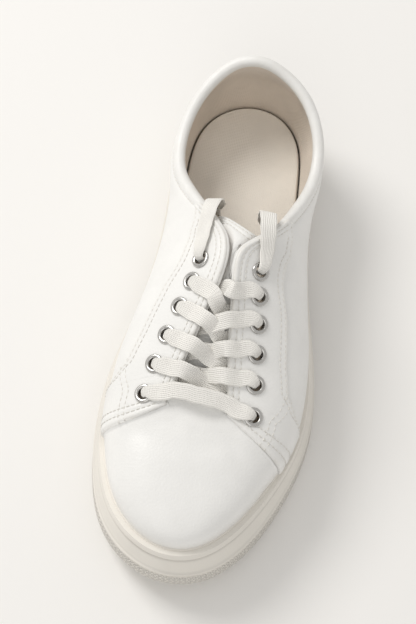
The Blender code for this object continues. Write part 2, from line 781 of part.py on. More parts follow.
def round_cutter(name, radius, depth, group):
    """Cylinder along its own Z, centred on its origin, used to drill."""
    mesh = bpy.data.meshes.new(name)
    cage = bmesh.new()
    bmesh.ops.create_cone(cage, cap_ends=True, segments=EYELET_SIDES, radius1=radius,
                          radius2=radius, depth=depth)
    cage.to_mesh(mesh)
    cage.free()
    cutter = bpy.data.objects.new(name, mesh)
    group.objects.link(cutter)
    return hide_cutter(cutter)


def build_eyelets(group, cutters, pierced):
    """Turned metal eyelets, and the holes for them through upper and facings."""
    mat = material("eyelet_nickel", (0.62, 0.62, 0.60), 0.28, 1.0)
    depth = FACING_LEATHER + GAP + LEATHER + GAP
    barrel = EYELET_BORE + EYELET_WALL
    profile = [(EYELET_BORE, GAP), (EYELET_BORE + 0.5 * EYELET_FLANGE, GAP + EYELET_FLANGE),
               (EYELET_RADIUS - 0.5 * EYELET_FLANGE, GAP + EYELET_FLANGE),
               (EYELET_RADIUS, GAP), (barrel, GAP), (barrel, -depth), (EYELET_BORE, -depth)]
    holes = []
    for name, point, normal in eyelet_places():
        mesh = bpy.data.meshes.new(name)
        loop = [(i, (i + 1) % len(profile)) for i in range(len(profile))]
        mesh.from_pydata([(r, 0.0, z) for r, z in profile], loop, [])
        mesh.materials.append(mat)
        eyelet = bpy.data.objects.new(name, mesh)
        group.objects.link(eyelet)
        eyelet.matrix_world = upright(point, normal)
        turn = eyelet.modifiers.new("turn", "SCREW")
        turn.steps = turn.render_steps = EYELET_SIDES
        turn.use_merge_vertices = True
        turn.merge_threshold = 0.00001
        cutter = round_cutter(f"{name}_cutter", barrel + GAP, 6 * depth, cutters)
        cutter.matrix_world = upright(point, normal)
        holes.append(cutter)
    for piece in pierced:
        side = [hole for hole in holes if piece.name == "upper" or piece.name[7:] in hole.name]
        boolean(piece, side, "DIFFERENCE")


def blend_curve(start, start_way, end, end_way, share):
    """Point of a smooth curve that leaves the start and arrives at the end in given ways."""
    return (start * (1 - share) ** 3 + 3 * (start + start_way) * share * (1 - share) ** 2
            + 3 * (end + end_way) * share ** 2 * (1 - share) + end * share ** 3)


def tongue_section(share, reach, room):
    """Points across the tongue from inner to outer side, close under both facings."""
    below = -(LEATHER + room)
    inner = [throat_point(-1, share, d, below)[0] for d in np.linspace(reach, 0.0, 4)]
    outer = [throat_point(1, share, d, below)[0] for d in np.linspace(0.0, reach, 4)]
    bridge = np.linalg.norm(outer[0] - inner[-1])
    way_in = (inner[-1] - inner[-2]) / np.linalg.norm(inner[-1] - inner[-2]) * bridge * TONGUE_ARCH
    way_out = (outer[0] - outer[1]) / np.linalg.norm(outer[0] - outer[1]) * bridge * TONGUE_ARCH
    middle = [blend_curve(inner[-1], way_in, outer[0], way_out, t) for t in (0.25, 0.5, 0.75)]
    dip = np.array([0.0, 0.0, TONGUE_DIP]) * min(1.0, bridge / (2 * LACE_WIDTH))
    middle = [point - dip * weight for point, weight in zip(middle, (0.8, 1.0, 0.8))]
    return np.array(inner + middle + outer)


def tongue_root(down):
    """Points of the tongue's sewn end, under the vamp along the bottom of the throat."""
    places = np.linspace(INNER_FRONT - 0.004, OUTER_FRONT + 0.004, 11)
    points = []
    for place in places:
        up = up_from_top(place, down)
        below = LEATHER + QUARTER_STEP + GAP
        points.append(upper_surface(place, up) - upper_normal(place, up) * below)
    return np.array(points)


def grid_normals(grid):
    """Normals of a grid of points, smoothed over its neighbours."""
    along = np.gradient(grid, axis=0)
    across = np.gradient(grid, axis=1)
    normal = np.cross(across, along)
    return normal / np.linalg.norm(normal, axis=-1)[..., None]


def build_tongue(group):
    """Padded leather tongue: sewn under the vamp, free under the facings and above them."""
    rows = [tongue_root(TONGUE_SEAM), tongue_root(0.35 * TONGUE_SEAM)]
    throat = np.linalg.norm(throat_point(1, 1.0, 0.0, 0.0)[0] - throat_point(1, 0.0, 0.0, 0.0)[0])
    end = 1.0 + TONGUE_RISE / throat
    for share in np.linspace(0.10, end, 9):
        reach = TONGUE_REACH * (0.35 + 0.65 * smoothstep(share, 0.0, 0.5))
        reach *= 1.0 - 0.5 * smoothstep(share, 0.9, end)
        rows.append(tongue_section(share, reach, TONGUE_ROOM))
    top = np.array(rows)
    under = top - grid_normals(top) * TONGUE_THICKNESS
    mat = material("tongue_leather", (0.82, 0.81, 0.78), 0.45)
    return grid_solid("tongue", top, under, mat, group)


def throat_middle(share, offset):
    """Point over the middle of the tongue, and the normal there."""
    section = tongue_section(share, TONGUE_REACH, TONGUE_ROOM)
    beyond = tongue_section(share + 0.03, TONGUE_REACH, TONGUE_ROOM)
    middle = len(section) // 2
    normal = np.cross(section[middle + 1] - section[middle - 1], beyond[middle] - section[middle])
    normal /= np.linalg.norm(normal)
    return section[middle] + normal * offset, normal


def lace_route(side, pair):
    """A crossing strip: from its eyelet over its own facing, on the tongue across the throat, and
    down beside the other facing's edge, under which the lace goes on."""
    start, goal = eyelet_share(side, pair), eyelet_share(-side, pair - 1)
    pitch = start - eyelet_share(side, pair - 1)
    lift = GAP + FACING_LEATHER + LACE_THICKNESS / 2
    over_eyelet = lift + EYELET_FLANGE + 4 * GAP
    over_edge = lift + 6 * GAP
    own_edge = throat_point(side, start - 0.26 * pitch, -LACE_TURN, over_edge)
    far_edge = throat_point(-side, goal + 0.12 * pitch, -LACE_STOP, -LEATHER)
    width = np.linalg.norm(own_edge[0] - far_edge[0])
    narrow = 1.0 - min(1.0, width / (3 * LACE_WIDTH))
    on_tongue = 5 * GAP + LACE_THICKNESS / 2 + 1.5 * (LEATHER + TONGUE_ROOM) * narrow
    on_tongue += GAP if side > 0 else 0.0
    middle = 0.5 * (start - 0.62 * pitch) + 0.5 * (goal + 0.38 * pitch)
    return [
        throat_point(side, start, EYELET_INSET, over_eyelet),
        throat_point(side, start - 0.14 * pitch, 0.52 * EYELET_INSET, over_eyelet),
        own_edge,
        throat_middle(middle, on_tongue),
        far_edge,
    ]


def strip(name, stations, count, mat, group):
    """A flat lace through stations of (point, normal), LACE_WIDTH wide, in count cross sections."""
    points = np.array([point for point, _ in stations])
    normals = np.array([normal for _, normal in stations])
    run = np.concatenate([[0.0], np.cumsum(np.linalg.norm(np.diff(points, axis=0), axis=1))])
    fine = np.linspace(0.0, run[-1], count)
    smooth_points = natural_spline(run, points, fine)
    smooth_normals = natural_spline(run, normals, fine)
    tangent = np.gradient(smooth_points, axis=0)
    side = np.cross(tangent, smooth_normals)
    side /= np.linalg.norm(side, axis=1)[:, None]
    up = np.cross(side, tangent)
    up /= np.linalg.norm(up, axis=1)[:, None]
    half = side * LACE_WIDTH / 2
    grid = np.stack([smooth_points - half, smooth_points, smooth_points + half], 1)
    thick = up[:, None, :] * LACE_THICKNESS / 2
    return grid_solid(name, grid + thick, grid - thick, mat, group)


def natural_spline(knots, values, places):
    """A smooth open curve through the values at the knots."""
    count = len(knots)
    step = np.diff(knots)
    slope = np.diff(values, axis=0) / step[:, None]
    matrix = np.eye(count)
    right = np.zeros_like(values)
    for i in range(1, count - 1):
        matrix[i, i - 1:i + 2] = step[i - 1], 2 * (step[i - 1] + step[i]), step[i]
        right[i] = 6.0 * (slope[i] - slope[i - 1])
    bend = np.linalg.solve(matrix, right)
    i = np.clip(np.searchsorted(knots, places, side="right") - 1, 0, count - 2)
    h, a = step[i][:, None], (places - knots[i])[:, None]
    b = h - a
    return ((bend[i] * b ** 3 + bend[i + 1] * a ** 3) / (6 * h)
            + (values[i] / h - bend[i] * h / 6) * b + (values[i + 1] / h - bend[i + 1] * h / 6) * a)


def lace_tip(name, stations, mat, group):
    """The rolled tip just past the last station of a loose end, in line with it."""
    end, before = np.array(stations[-1][0]), np.array(stations[-2][0])
    way = (end - before) / np.linalg.norm(end - before)
    face = np.array(stations[-1][1])
    across = np.cross(way, face)
    across /= np.linalg.norm(across)
    face = np.cross(across, way)
    rings = []
    for share, size in ((0.0, 0.9), (0.06, 1.0), (0.94, 1.0), (1.0, 0.8)):
        centre = end + way * (GAP + share * TIP_LENGTH)
        ring = []
        for k in range(TIP_SIDES):
            turn = 2 * pi * k / TIP_SIDES
            ring.append(centre + across * cos(turn) * TIP_WIDTH / 2 * size
                        + face * sin(turn) * TIP_THICKNESS / 2 * size)
        rings.append(np.array(ring))
    return ring_solid(name, rings, mat, group)


def build_lacing(group, cutters):
    """The bar over both facings at the bottom, a joined crossing for each pair above, and the two
    loose ends with their tips."""
    mat = material("lace_cotton", (0.78, 0.75, 0.68), 0.9)
    tip_mat = material("lace_tip_plastic", (0.82, 0.81, 0.77), 0.3)
    lift = GAP + FACING_LEATHER + LACE_THICKNESS / 2 + EYELET_FLANGE + 4 * GAP
    half = [[throat_point(side, eyelet_share(side, 0) - shift, distance, lift) for shift, distance in
             ((0.0, EYELET_INSET), (BAR_SHIFT / 2, 0.5 * EYELET_INSET), (BAR_SHIFT, 0.0))]
            for side in (-1, 1)]
    (inner_edge, inner_normal), (outer_edge, outer_normal) = half[0][-1], half[1][-1]
    rise = np.array([0.0, 0.0, BAR_RISE])
    middle = ((inner_edge + outer_edge) / 2 + rise, inner_normal + outer_normal)
    bar = half[0] + [middle] + half[1][::-1]
    strip("lace_bar", bar, LACE_STATIONS, mat, group)
    for pair in range(1, EYELET_PAIRS - 1):
        crossing = strip(f"lace_crossing_{pair + 1}", lace_route(-1, pair), LACE_STATIONS, mat, group)
        other = strip(f"lace_strip_{pair + 1}", lace_route(1, pair), LACE_STATIONS, mat, cutters)
        boolean(crossing, [hide_cutter(other)], "UNION")
    for word, stations in (("inner", LACE_END_INNER), ("outer", LACE_END_OUTER)):
        strip(f"lace_end_{word}", stations, END_STATIONS, mat, group)
        lace_tip(f"lace_tip_{word}", stations, tip_mat, group)


def main():
    clear_scene()
    parts = new_collection("sneaker")
    cutters = new_collection("cutters")
    build_outsole(parts, cutters)
    build_midsole(parts)
    build_insole(parts)
    upper = build_upper(parts)
    outer_facing = build_facing("facing_outer", OUTER_FACING, parts)
    inner_facing = build_facing("facing_inner", INNER_FACING, parts)
    build_eyelets(parts, cutters, [upper, outer_facing, inner_facing])
    build_tongue(parts)
    build_lacing(parts, cutters)


main()
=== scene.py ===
"""A low leather lace-up sneaker, left shoe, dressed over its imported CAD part.

Metres, +Z up, toe at -Y, heel at +Y, inner side of the foot at -X, outer side at +X.
"""

from math import pi

import bmesh
import bpy
import numpy as np
from mathutils import Matrix, Vector


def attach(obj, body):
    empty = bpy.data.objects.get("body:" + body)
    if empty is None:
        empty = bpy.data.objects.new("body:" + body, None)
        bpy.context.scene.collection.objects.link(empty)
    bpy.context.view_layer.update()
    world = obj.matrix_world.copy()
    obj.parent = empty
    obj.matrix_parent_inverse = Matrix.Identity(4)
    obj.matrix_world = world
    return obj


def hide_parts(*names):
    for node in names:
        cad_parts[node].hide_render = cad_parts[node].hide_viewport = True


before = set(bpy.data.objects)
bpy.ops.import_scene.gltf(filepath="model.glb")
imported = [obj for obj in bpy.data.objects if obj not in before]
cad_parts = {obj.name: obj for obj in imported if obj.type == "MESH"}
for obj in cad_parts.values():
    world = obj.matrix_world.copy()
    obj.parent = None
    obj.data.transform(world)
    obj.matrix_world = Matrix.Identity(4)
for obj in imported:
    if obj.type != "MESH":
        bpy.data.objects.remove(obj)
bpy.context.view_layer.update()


# Camera. It stands where the photographer's camera stood, high above the toe, and is turned and
# zoomed until the one shoe fills the upright frame.
camera_place = Vector((0.0311, -0.3816, 0.8468))
camera_aim = Vector((-0.0055, -0.002, 0.036))
camera_up = Vector((-0.1336, 0.9003, 0.4143))

camera = bpy.data.objects.new("camera", bpy.data.cameras.new("camera"))
camera.data.lens = 104.0
camera.data.clip_start = 0.05
back = (camera_place - camera_aim).normalized()
right = camera_up.cross(back).normalized()
turned = Matrix((right, back.cross(right), back)).transposed().to_4x4()
camera.matrix_world = Matrix.Translation(camera_place) @ turned
bpy.context.scene.collection.objects.link(camera)
bpy.context.scene.camera = camera


# Studio. A plain warm white floor, one large softbox high on the left behind the shoe, a weaker
# one in front and a white room, so that shadows fall softly to the right and towards the camera.
class Wire:
    """One output of a material's nodes. Arithmetic on it adds Math nodes."""

    def __init__(self, tree, socket=None):
        self.tree = tree
        self.socket = socket

    def node(self, kind, inputs, output=0, **settings):
        """Adds a node: its settings first, then the values or links of its sockets."""
        made = self.tree.nodes.new(kind)
        for name, value in settings.items():
            setattr(made, name, value)
        for name, value in inputs.items():
            if isinstance(value, Wire):
                self.tree.links.new(value.socket, made.inputs[name])
            else:
                made.inputs[name].default_value = value
        return Wire(self.tree, made.outputs[output])

    def math(self, operation, first, second=0.0):
        return self.node("ShaderNodeMath", {0: first, 1: second}, operation=operation)

    def __add__(self, other):
        return self.math("ADD", self, other)

    def __sub__(self, other):
        return self.math("SUBTRACT", self, other)

    def __rsub__(self, other):
        return self.math("SUBTRACT", other, self)

    def __mul__(self, other):
        return self.math("MULTIPLY", self, other)

    __radd__ = __add__
    __rmul__ = __mul__

    def sine(self):
        return self.math("SINE", self)

    def size(self):
        return self.math("ABSOLUTE", self)

    def smooth(self, low, high):
        """0 below low, 1 above high, with a soft step between."""
        return self.node("ShaderNodeMapRange", {"Value": self, "From Min": low, "From Max": high},
                         interpolation_type="SMOOTHSTEP")

    def axis(self, letter):
        return self.node("ShaderNodeSeparateXYZ", {0: self}, output=letter)

    def noise(self, scale, detail=2.0, roughness=0.5):
        return self.node("ShaderNodeTexNoise", {"Vector": self, "Scale": scale, "Detail": detail,
                                                "Roughness": roughness})

    def cells(self, scale, smoothness=0.4):
        return self.node("ShaderNodeTexVoronoi", {"Vector": self, "Scale": scale,
                                                  "Smoothness": smoothness},
                         output="Distance", feature="SMOOTH_F1")

    def blend(self, first, second):
        """Colour between two others, by this wire."""
        return self.node("ShaderNodeMix", {0: self, 6: first, 7: second}, output=2, data_type="RGBA")

    def bump(self, distance):
        """Normal of a surface raised by this wire times a distance."""
        return self.node("ShaderNodeBump", {"Height": self, "Distance": distance}, output="Normal")


def new_finish(name, colour, roughness):
    """A Principled material, its shader, and a wire on its object coordinates."""
    mat = bpy.data.materials.new(name)
    mat.use_nodes = True
    shader = mat.node_tree.nodes["Principled BSDF"]
    shader.inputs["Base Color"].default_value = (*colour, 1.0)
    shader.inputs["Roughness"].default_value = roughness
    return mat, shader, Wire(mat.node_tree).node("ShaderNodeTexCoord", {}, output="Object")


def feed(shader, **sockets):
    """Links wires to the shader's sockets, underscores standing for spaces."""
    for name, wire in sockets.items():
        wire.tree.links.new(wire.socket, shader.inputs[name.replace("_", " ")])


def tint(colour, factor):
    return (colour[0] * factor, colour[1] * factor, colour[2] * factor, 1.0)


floor_colour = (0.895, 0.884, 0.864)
floor_paper, floor_shader, _ = new_finish("floor_paper", floor_colour, 0.9)
floor_shader.inputs["Specular IOR Level"].default_value = 0.1
floor_mesh = bpy.data.meshes.new("floor")
floor_mesh.from_pydata([(-4, -4, 0), (4, -4, 0), (4, 4, 0), (-4, 4, 0)], [], [(0, 1, 2, 3)])
floor_mesh.materials.append(floor_paper)
floor = bpy.data.objects.new("floor", floor_mesh)
bpy.context.scene.collection.objects.link(floor)


def softbox(name, place, size, power, colour):
    light = bpy.data.lights.new(name, "AREA")
    light.shape = "DISK"
    light.size = size
    light.energy = power
    light.color = colour
    lamp = bpy.data.objects.new(name, light)
    lamp.matrix_world = (Matrix.Translation(place)
                         @ Vector(place).to_track_quat("Z", "Y").to_matrix().to_4x4())
    bpy.context.scene.collection.objects.link(lamp)


softbox("window_light", (-0.95, 0.70, 1.35), 0.85, 15.6, (1.0, 0.985, 0.96))
softbox("front_fill", (-0.1, -1.3, 1.2), 1.4, 3.8, (1.0, 0.985, 0.965))
room = bpy.data.worlds.new("white_room")
room.use_nodes = True
room.node_tree.nodes["Background"].inputs["Color"].default_value = (1.0, 0.985, 0.965, 1.0)
room.node_tree.nodes["Background"].inputs["Strength"].default_value = 0.58
bpy.context.scene.world = room
bpy.context.scene.view_settings.view_transform = "Standard"


# Outsole. One moulded bottom of cream rubber, with a ribbed strip round its side, a hollow waist,
# a sprung toe and wavy tread grooves. The cup above is bonded to it.
sole_length = 0.272
ball_width = 0.107
toe_spring = 0.009
outsole_height = 0.013
cup_inset = 0.0062        # the cup's inner wall, in from the sole's widest line
toe_rubber = 0.0030       # extra rubber in front of the toes
toe_wrap_height = 0.0040  # extra height of the cup round the toes
arch_rise = 0.0025
tread_depth = 0.0022
tread_groove_width = 0.0030
tread_pitch = 0.0115
tread_margin = 0.0095
tread_fields = [(-0.41, -0.09), (0.22, 0.42)]
sole_columns = 560
dense = 1440              # points on a finely drawn closed curve
rubber_cream = (0.815, 0.782, 0.722)
rib_strip_low, rib_strip_high = 0.0042, 0.0122
rib_strip_fade = 0.0010
rib_pitch = 0.0026
rib_wave_pitch = 0.0034
rib_height = 0.0008

# Outline from the heel round the outer side to the toe and back, as shares of half the ball
# width and half the length.
sole_outline_rows = [
    # across, along
    (0.040, 1.000), (0.420, 0.950), (0.660, 0.820), (0.735, 0.625), (0.760, 0.400),
    (0.820, 0.180), (0.925, -0.040), (0.998, -0.265), (0.972, -0.440), (0.870, -0.590),
    (0.705, -0.745), (0.470, -0.890), (0.150, -0.985), (-0.190, -1.000), (-0.540, -0.940),
    (-0.800, -0.820), (-0.945, -0.650), (-0.998, -0.430), (-0.960, -0.235), (-0.835, -0.010),
    (-0.730, 0.210), (-0.690, 0.430), (-0.685, 0.650), (-0.590, 0.835), (-0.330, 0.955),
]
# Side of the outsole, bottom to top.
outsole_side = [
    # share of its height, inset in cup insets
    (0.000, 0.480), (0.120, 0.190), (0.300, 0.090), (0.325, 0.000), (0.930, 0.110),
    (0.960, 0.230), (1.000, 0.250),
]


def smoothstep(value, low, high):
    """0 below low, 1 above high, with a soft step between."""
    share = np.clip((np.asarray(value, float) - low) / (high - low), 0.0, 1.0)
    return share * share * (3.0 - 2.0 * share)


def bell(value, centre, width):
    """1 at the centre, falling softly to 0 on both sides."""
    return np.exp(-((np.asarray(value, float) - centre) / width) ** 2)


def periodic_spline(knots, values, period):
    """A smooth closed curve through the values, as a function of the place on it."""
    knots = np.asarray(knots, float)
    values = np.asarray(values, float).reshape(len(knots), -1)
    count = len(knots)
    step = np.diff(np.append(knots, knots[0] + period))
    slope = (np.roll(values, -1, 0) - values) / step[:, None]
    matrix = np.zeros((count, count))
    for i in range(count):
        before, after = (i - 1) % count, (i + 1) % count
        matrix[i, i] = 2.0 * (step[before] + step[i])
        matrix[i, before] += step[before]
        matrix[i, after] += step[i]
    bend = np.linalg.solve(matrix, 6.0 * (slope - np.roll(slope, 1, 0)))

    def at(place):
        place = (np.asarray(place, float) - knots[0]) % period + knots[0]
        i = np.clip(np.searchsorted(knots, place, side="right") - 1, 0, count - 1)
        j = (i + 1) % count
        h = step[i][:, None]
        a = (place - knots[i])[:, None]
        b = h - a
        return ((bend[i] * b ** 3 + bend[j] * a ** 3) / (6.0 * h)
                + (values[i] / h - bend[i] * h / 6.0) * b
                + (values[j] / h - bend[j] * h / 6.0) * a)

    return at


def run_along(points):
    """Distance along a line of points, from its first."""
    return np.concatenate([[0.0], np.cumsum(np.linalg.norm(np.diff(points, axis=0), axis=1))])


def closed_curve(rows):
    """Evenly spaced points on the smooth closed curve through the rows, and the rows' places."""
    rows = np.asarray(rows, float)
    chord = np.linalg.norm(np.roll(rows, -1, 0) - rows, axis=1)
    knots = np.concatenate([[0.0], np.cumsum(chord)[:-1]])
    fine = np.linspace(0.0, chord.sum(), 4 * dense + 1)
    points = periodic_spline(knots, rows, chord.sum())(fine)
    run = run_along(points)
    even = np.linspace(0.0, run[-1], dense, endpoint=False)
    spaced = np.stack([np.interp(even, run, column) for column in points.T], 1)
    return spaced, np.interp(knots, fine, run) / run[-1]


def along_curve(points, place):
    """The place on an evenly spaced closed curve, 0 to 1 once round."""
    grid = np.arange(len(points) + 1) / len(points)
    closed = np.vstack([points, points[:1]])
    place = np.asarray(place, float) % 1.0
    return np.stack([np.interp(place, grid, column) for column in closed.T], -1)


outline, _ = closed_curve([(x * ball_width / 2, y * sole_length / 2) for x, y in sole_outline_rows])
low, high = outline.min(0), outline.max(0)
outline = (outline - (low + high) / 2) / (high - low) * np.array([ball_width, sole_length])
tangent = np.roll(outline, -1, 0) - np.roll(outline, 1, 0)
outline_normal = np.stack([-tangent[:, 1], tangent[:, 0]], 1)
outline_normal /= np.linalg.norm(outline_normal, axis=1)[:, None]
outline_normal *= np.sign(outline_normal[0, 1])


def spring(y):
    """Lift of the whole sole towards the toe tip."""
    start = -0.165 * sole_length
    run = start + sole_length / 2
    return toe_spring * (np.clip(start - np.asarray(y, float), 0.0, None) / run) ** 1.8


def arch(y):
    """Hollow of the underside between heel and ball."""
    share = np.clip((np.asarray(y, float) / sole_length + 0.060) / 0.260, 0.0, 1.0)
    return arch_rise * np.sin(pi * share) ** 2


def toe_wrap(y):
    """0 along the foot, rising to 1 round the toes."""
    return smoothstep(-np.asarray(y, float) / sole_length, 0.22, 0.46)


def sole_ring(inset, height, places, hollow=0.0, play=0.0, wrap=0.0):
    """One ring round the sole: inset in cup insets, play a plain distance more, wrap the share
    of the extra height round the toes."""
    y = along_curve(outline, places)[:, 1]
    depth = inset * (cup_inset + toe_rubber * toe_wrap(y)) + play
    flat = along_curve(outline, places) - depth[:, None] * along_curve(outline_normal, places)
    lift = height + spring(flat[:, 1]) + hollow * arch(flat[:, 1])
    return np.column_stack([flat, lift + wrap * toe_wrap_height * toe_wrap(y)])


def rounded(profile, times=2):
    """A profile with its corners cut, its ends kept."""
    line = np.array(profile)
    for _ in range(times):
        near = 0.75 * line[:-1] + 0.25 * line[1:]
        far = 0.25 * line[:-1] + 0.75 * line[1:]
        line = np.vstack([line[:1], np.stack([near, far], 1).reshape(-1, 2)[1:-1], line[-1:]])
    return line


def grid_faces(rows, columns, closed_rows=False, closed_columns=False, first=0):
    """Quads of a grid of points, row by row."""
    i = np.arange(rows if closed_rows else rows - 1)[:, None]
    j = np.arange(columns if closed_columns else columns - 1)[None, :]
    below, beside = (i + 1) % rows, (j + 1) % columns
    quads = [i * columns + j, i * columns + beside, below * columns + beside, below * columns + j]
    return (np.stack(quads, -1).reshape(-1, 4) + first).tolist()


def across_ring(ring, first, inner_first, steps):
    """Points on rungs across a closed ring that starts at one end, and the faces that fill it."""
    count = len(ring)
    left, right = ring[1:count // 2], ring[:count // 2:-1]
    share = (np.arange(1, steps) / steps)[None, :, None]
    inner = left[:, None] * (1 - share) + right[:, None] * share
    rungs = len(left)
    ids = np.empty((rungs, steps + 1), int)
    ids[:, 0] = first + np.arange(1, count // 2)
    ids[:, -1] = first + np.arange(count - 1, count // 2, -1)
    ids[:, 1:-1] = inner_first + np.arange(rungs * (steps - 1)).reshape(rungs, steps - 1)
    quads = np.stack([ids[:-1, :-1], ids[:-1, 1:], ids[1:, 1:], ids[1:, :-1]], -1).reshape(-1, 4)
    fans = [(first, int(b), int(a)) for a, b in zip(ids[0, :-1], ids[0, 1:])]
    fans += [(first + count // 2, int(a), int(b)) for a, b in zip(ids[-1, :-1], ids[-1, 1:])]
    return inner.reshape(-1, 3), quads.tolist() + fans


def new_piece(name, points, faces, mats, sharp=None):
    """A mesh object with faces turned outwards, shaded smooth up to a sharp angle."""
    mesh = bpy.data.meshes.new(name)
    mesh.from_pydata(np.asarray(points).tolist(), [], faces)
    cage = bmesh.new()
    cage.from_mesh(mesh)
    bmesh.ops.recalc_face_normals(cage, faces=cage.faces)
    cage.to_mesh(mesh)
    cage.free()
    for mat in mats:
        mesh.materials.append(mat)
    mesh.shade_smooth()
    if sharp:
        mesh.set_sharp_from_angle(angle=sharp)
    piece = bpy.data.objects.new(name, mesh)
    bpy.context.scene.collection.objects.link(piece)
    return piece


def lay_pattern(piece, across, along, wrap=0.0):
    """A UV map from two numbers for each vertex. Where a closed ring ends, along goes on by wrap."""
    mesh = piece.data
    corner = np.empty(len(mesh.loops), int)
    mesh.loops.foreach_get("vertex_index", corner)
    u, v = np.asarray(along, float)[corner], np.asarray(across, float)[corner]
    if wrap:
        sizes = np.empty(len(mesh.polygons), int)
        mesh.polygons.foreach_get("loop_total", sizes)
        widest = np.maximum.reduceat(u, np.cumsum(sizes) - sizes)
        u = np.where(np.repeat(widest, sizes) - u > wrap / 2, u + wrap, u)
    layer = mesh.uv_layers.new(name="pattern")
    layer.data.foreach_set("uv", np.column_stack([u, v]).astype(np.float32).ravel())


def stand_for(piece, slot, *nodes):
    """The piece rides on the shoe and is shown in place of its plain solids, if it has any."""
    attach(piece, "root")
    if nodes:
        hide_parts(*nodes)


def carve(piece, cutters):
    """Takes closed cutter meshes from a piece, and leaves a plain mesh."""
    cut = piece.modifiers.new("carve", "BOOLEAN")
    cut.operation, cut.solver = "DIFFERENCE", "EXACT"
    joined = bmesh.new()
    for points, faces in cutters:
        corners = [joined.verts.new(p) for p in points]
        for face in faces:
            joined.faces.new([corners[i] for i in face])
    bmesh.ops.recalc_face_normals(joined, faces=joined.faces)
    mesh = bpy.data.meshes.new("cutters")
    joined.to_mesh(mesh)
    joined.free()
    cut.object = bpy.data.objects.new("cutters", mesh)
    bpy.context.scene.collection.objects.link(cut.object)
    graph = bpy.context.evaluated_depsgraph_get()
    carved = bpy.data.meshes.new_from_object(piece.evaluated_get(graph))
    bpy.data.objects.remove(cut.object)
    piece.modifiers.clear()
    piece.data = carved
    return piece


def tread_cutter(y_middle):
    """Closed body of one wavy groove across the underside."""
    near = outline[np.abs(outline[:, 1] - y_middle) < tread_pitch]
    share = np.linspace(0.0, 1.0, 49)
    x = near[:, 0].min() + tread_margin + share * (np.ptp(near[:, 0]) - 2 * tread_margin)
    y = y_middle + 0.28 * tread_pitch * np.sin(share * 4.0 * pi)
    top = tread_depth + spring(y) + arch(y)
    half = tread_groove_width / 2
    corners = [(-half, -tread_depth + 0 * top), (half, -tread_depth + 0 * top),
               (0.8 * half, top), (-0.8 * half, top)]
    points = np.stack([np.column_stack([x, y + side, z]) for side, z in corners], 1).reshape(-1, 3)
    faces = grid_faces(len(share), 4, closed_columns=True)
    last = len(points) - 4
    return points, faces + [(3, 2, 1, 0), (last, last + 1, last + 2, last + 3)]


def rubber(name, ribs):
    """Cream moulded rubber, a little dusty, matte and darker towards its bottom. The outsole's side has a
    ribbed strip. Painted shade darkens the troughs of the ribs and the grooves marked per point.
    """
    mat, shader, place = new_finish(name, rubber_cream, 0.62)
    dust = place.noise(24.0, 4.0, 0.6).smooth(0.35, 0.72)
    # Darker towards the bottom of the rubber.
    lower_darkening = 1.0 - place.axis("Z").smooth(0.001, 0.016)
    # Painted shade: darker in the cup's grooves, by a point attribute.
    groove_shade = place.node("ShaderNodeAttribute", {}, output="Fac", attribute_name="groove_shade")
    clean = (dust * 0.5 + lower_darkening * 0.35).blend(tint(rubber_cream, 1.03), tint(rubber_cream, 0.90))
    feed(shader, Roughness=dust * 0.14 + 0.52)
    height = place.noise(900.0, 3.0) * 0.25
    if ribs:
        run = place.node("ShaderNodeUVMap", {}, uv_map="pattern")
        along, up = run.axis("X"), run.axis("Y")
        strip = up.smooth(rib_strip_low, rib_strip_low + rib_strip_fade) \
            * (1.0 - up.smooth(rib_strip_high - rib_strip_fade, rib_strip_high))
        wave = (along * (2 * pi / rib_pitch) + (up * (2 * pi / rib_wave_pitch)).sine() * 1.5).sine()
        height = height + strip * wave.smooth(-0.7, 0.7)
        # Painted shade in the troughs between the ribs.
        groove_shade = groove_shade + strip * (1.0 - wave.smooth(-0.9, 0.5)) * 0.55
    feed(shader, Base_Color=groove_shade.blend(clean, tint(rubber_cream, 0.72)),
         Normal=height.bump(rib_height if ribs else 0.1 * rib_height))
    return mat


def paint_groove_shade(piece, depths):
    """How much painted shade darkens the rubber at each point, 0 to 1, deepest in a groove."""
    layer = piece.data.attributes.new("groove_shade", "FLOAT", "POINT")
    values = np.zeros(len(piece.data.vertices), np.float32)
    values[:len(depths)] = depths
    layer.data.foreach_set("value", values)


places = np.arange(sole_columns) / sole_columns
side = rounded(outsole_side)
rings = [sole_ring(inset, share * outsole_height, places, hollow=float(1.0 - min(1.0, share / 0.12)))
         for share, inset in side]
points = np.vstack(rings)
faces = grid_faces(len(rings), sole_columns, closed_columns=True)
inner, cap = across_ring(rings[0], 0, len(points), 24)
faces += cap
points = np.vstack([points, inner])
top_inner, cap = across_ring(rings[-1], (len(rings) - 1) * sole_columns, len(points), 24)
faces += cap
points = np.vstack([points, top_inner])
outsole = new_piece("outsole_rubber", points, faces, [rubber("ribbed_rubber", True)], sharp=0.7)
girth = run_along(np.vstack([outline, outline[:1]]))[-1]
along = np.concatenate([np.tile(places * girth, len(rings)), np.zeros(len(inner) + len(top_inner))])
across = np.concatenate([np.repeat(side[:, 0] * outsole_height, sole_columns),
                         np.zeros(len(inner) + len(top_inner))])
lay_pattern(outsole, across, along, wrap=girth)
grooves = []
for start, end in tread_fields:
    for k in range(int((end - start) * sole_length / tread_pitch) + 1):
        grooves.append(tread_cutter(start * sole_length + k * tread_pitch))
carve(outsole, grooves)
stand_for(outsole, "outsole", "outsole")


# Cup. The smooth rubber wall that the upper sits in: a thin ridge along its foot, a plain band,
# a fine groove and a rounded bead at the top edge. It is moulded in one with a floor.
gap = 0.0003
cup_height = 0.027
floor_height = 0.0175
groove_share = 0.74       # places of the two lines of painted shade on the cup's side, of its height
ridge_share = 0.16
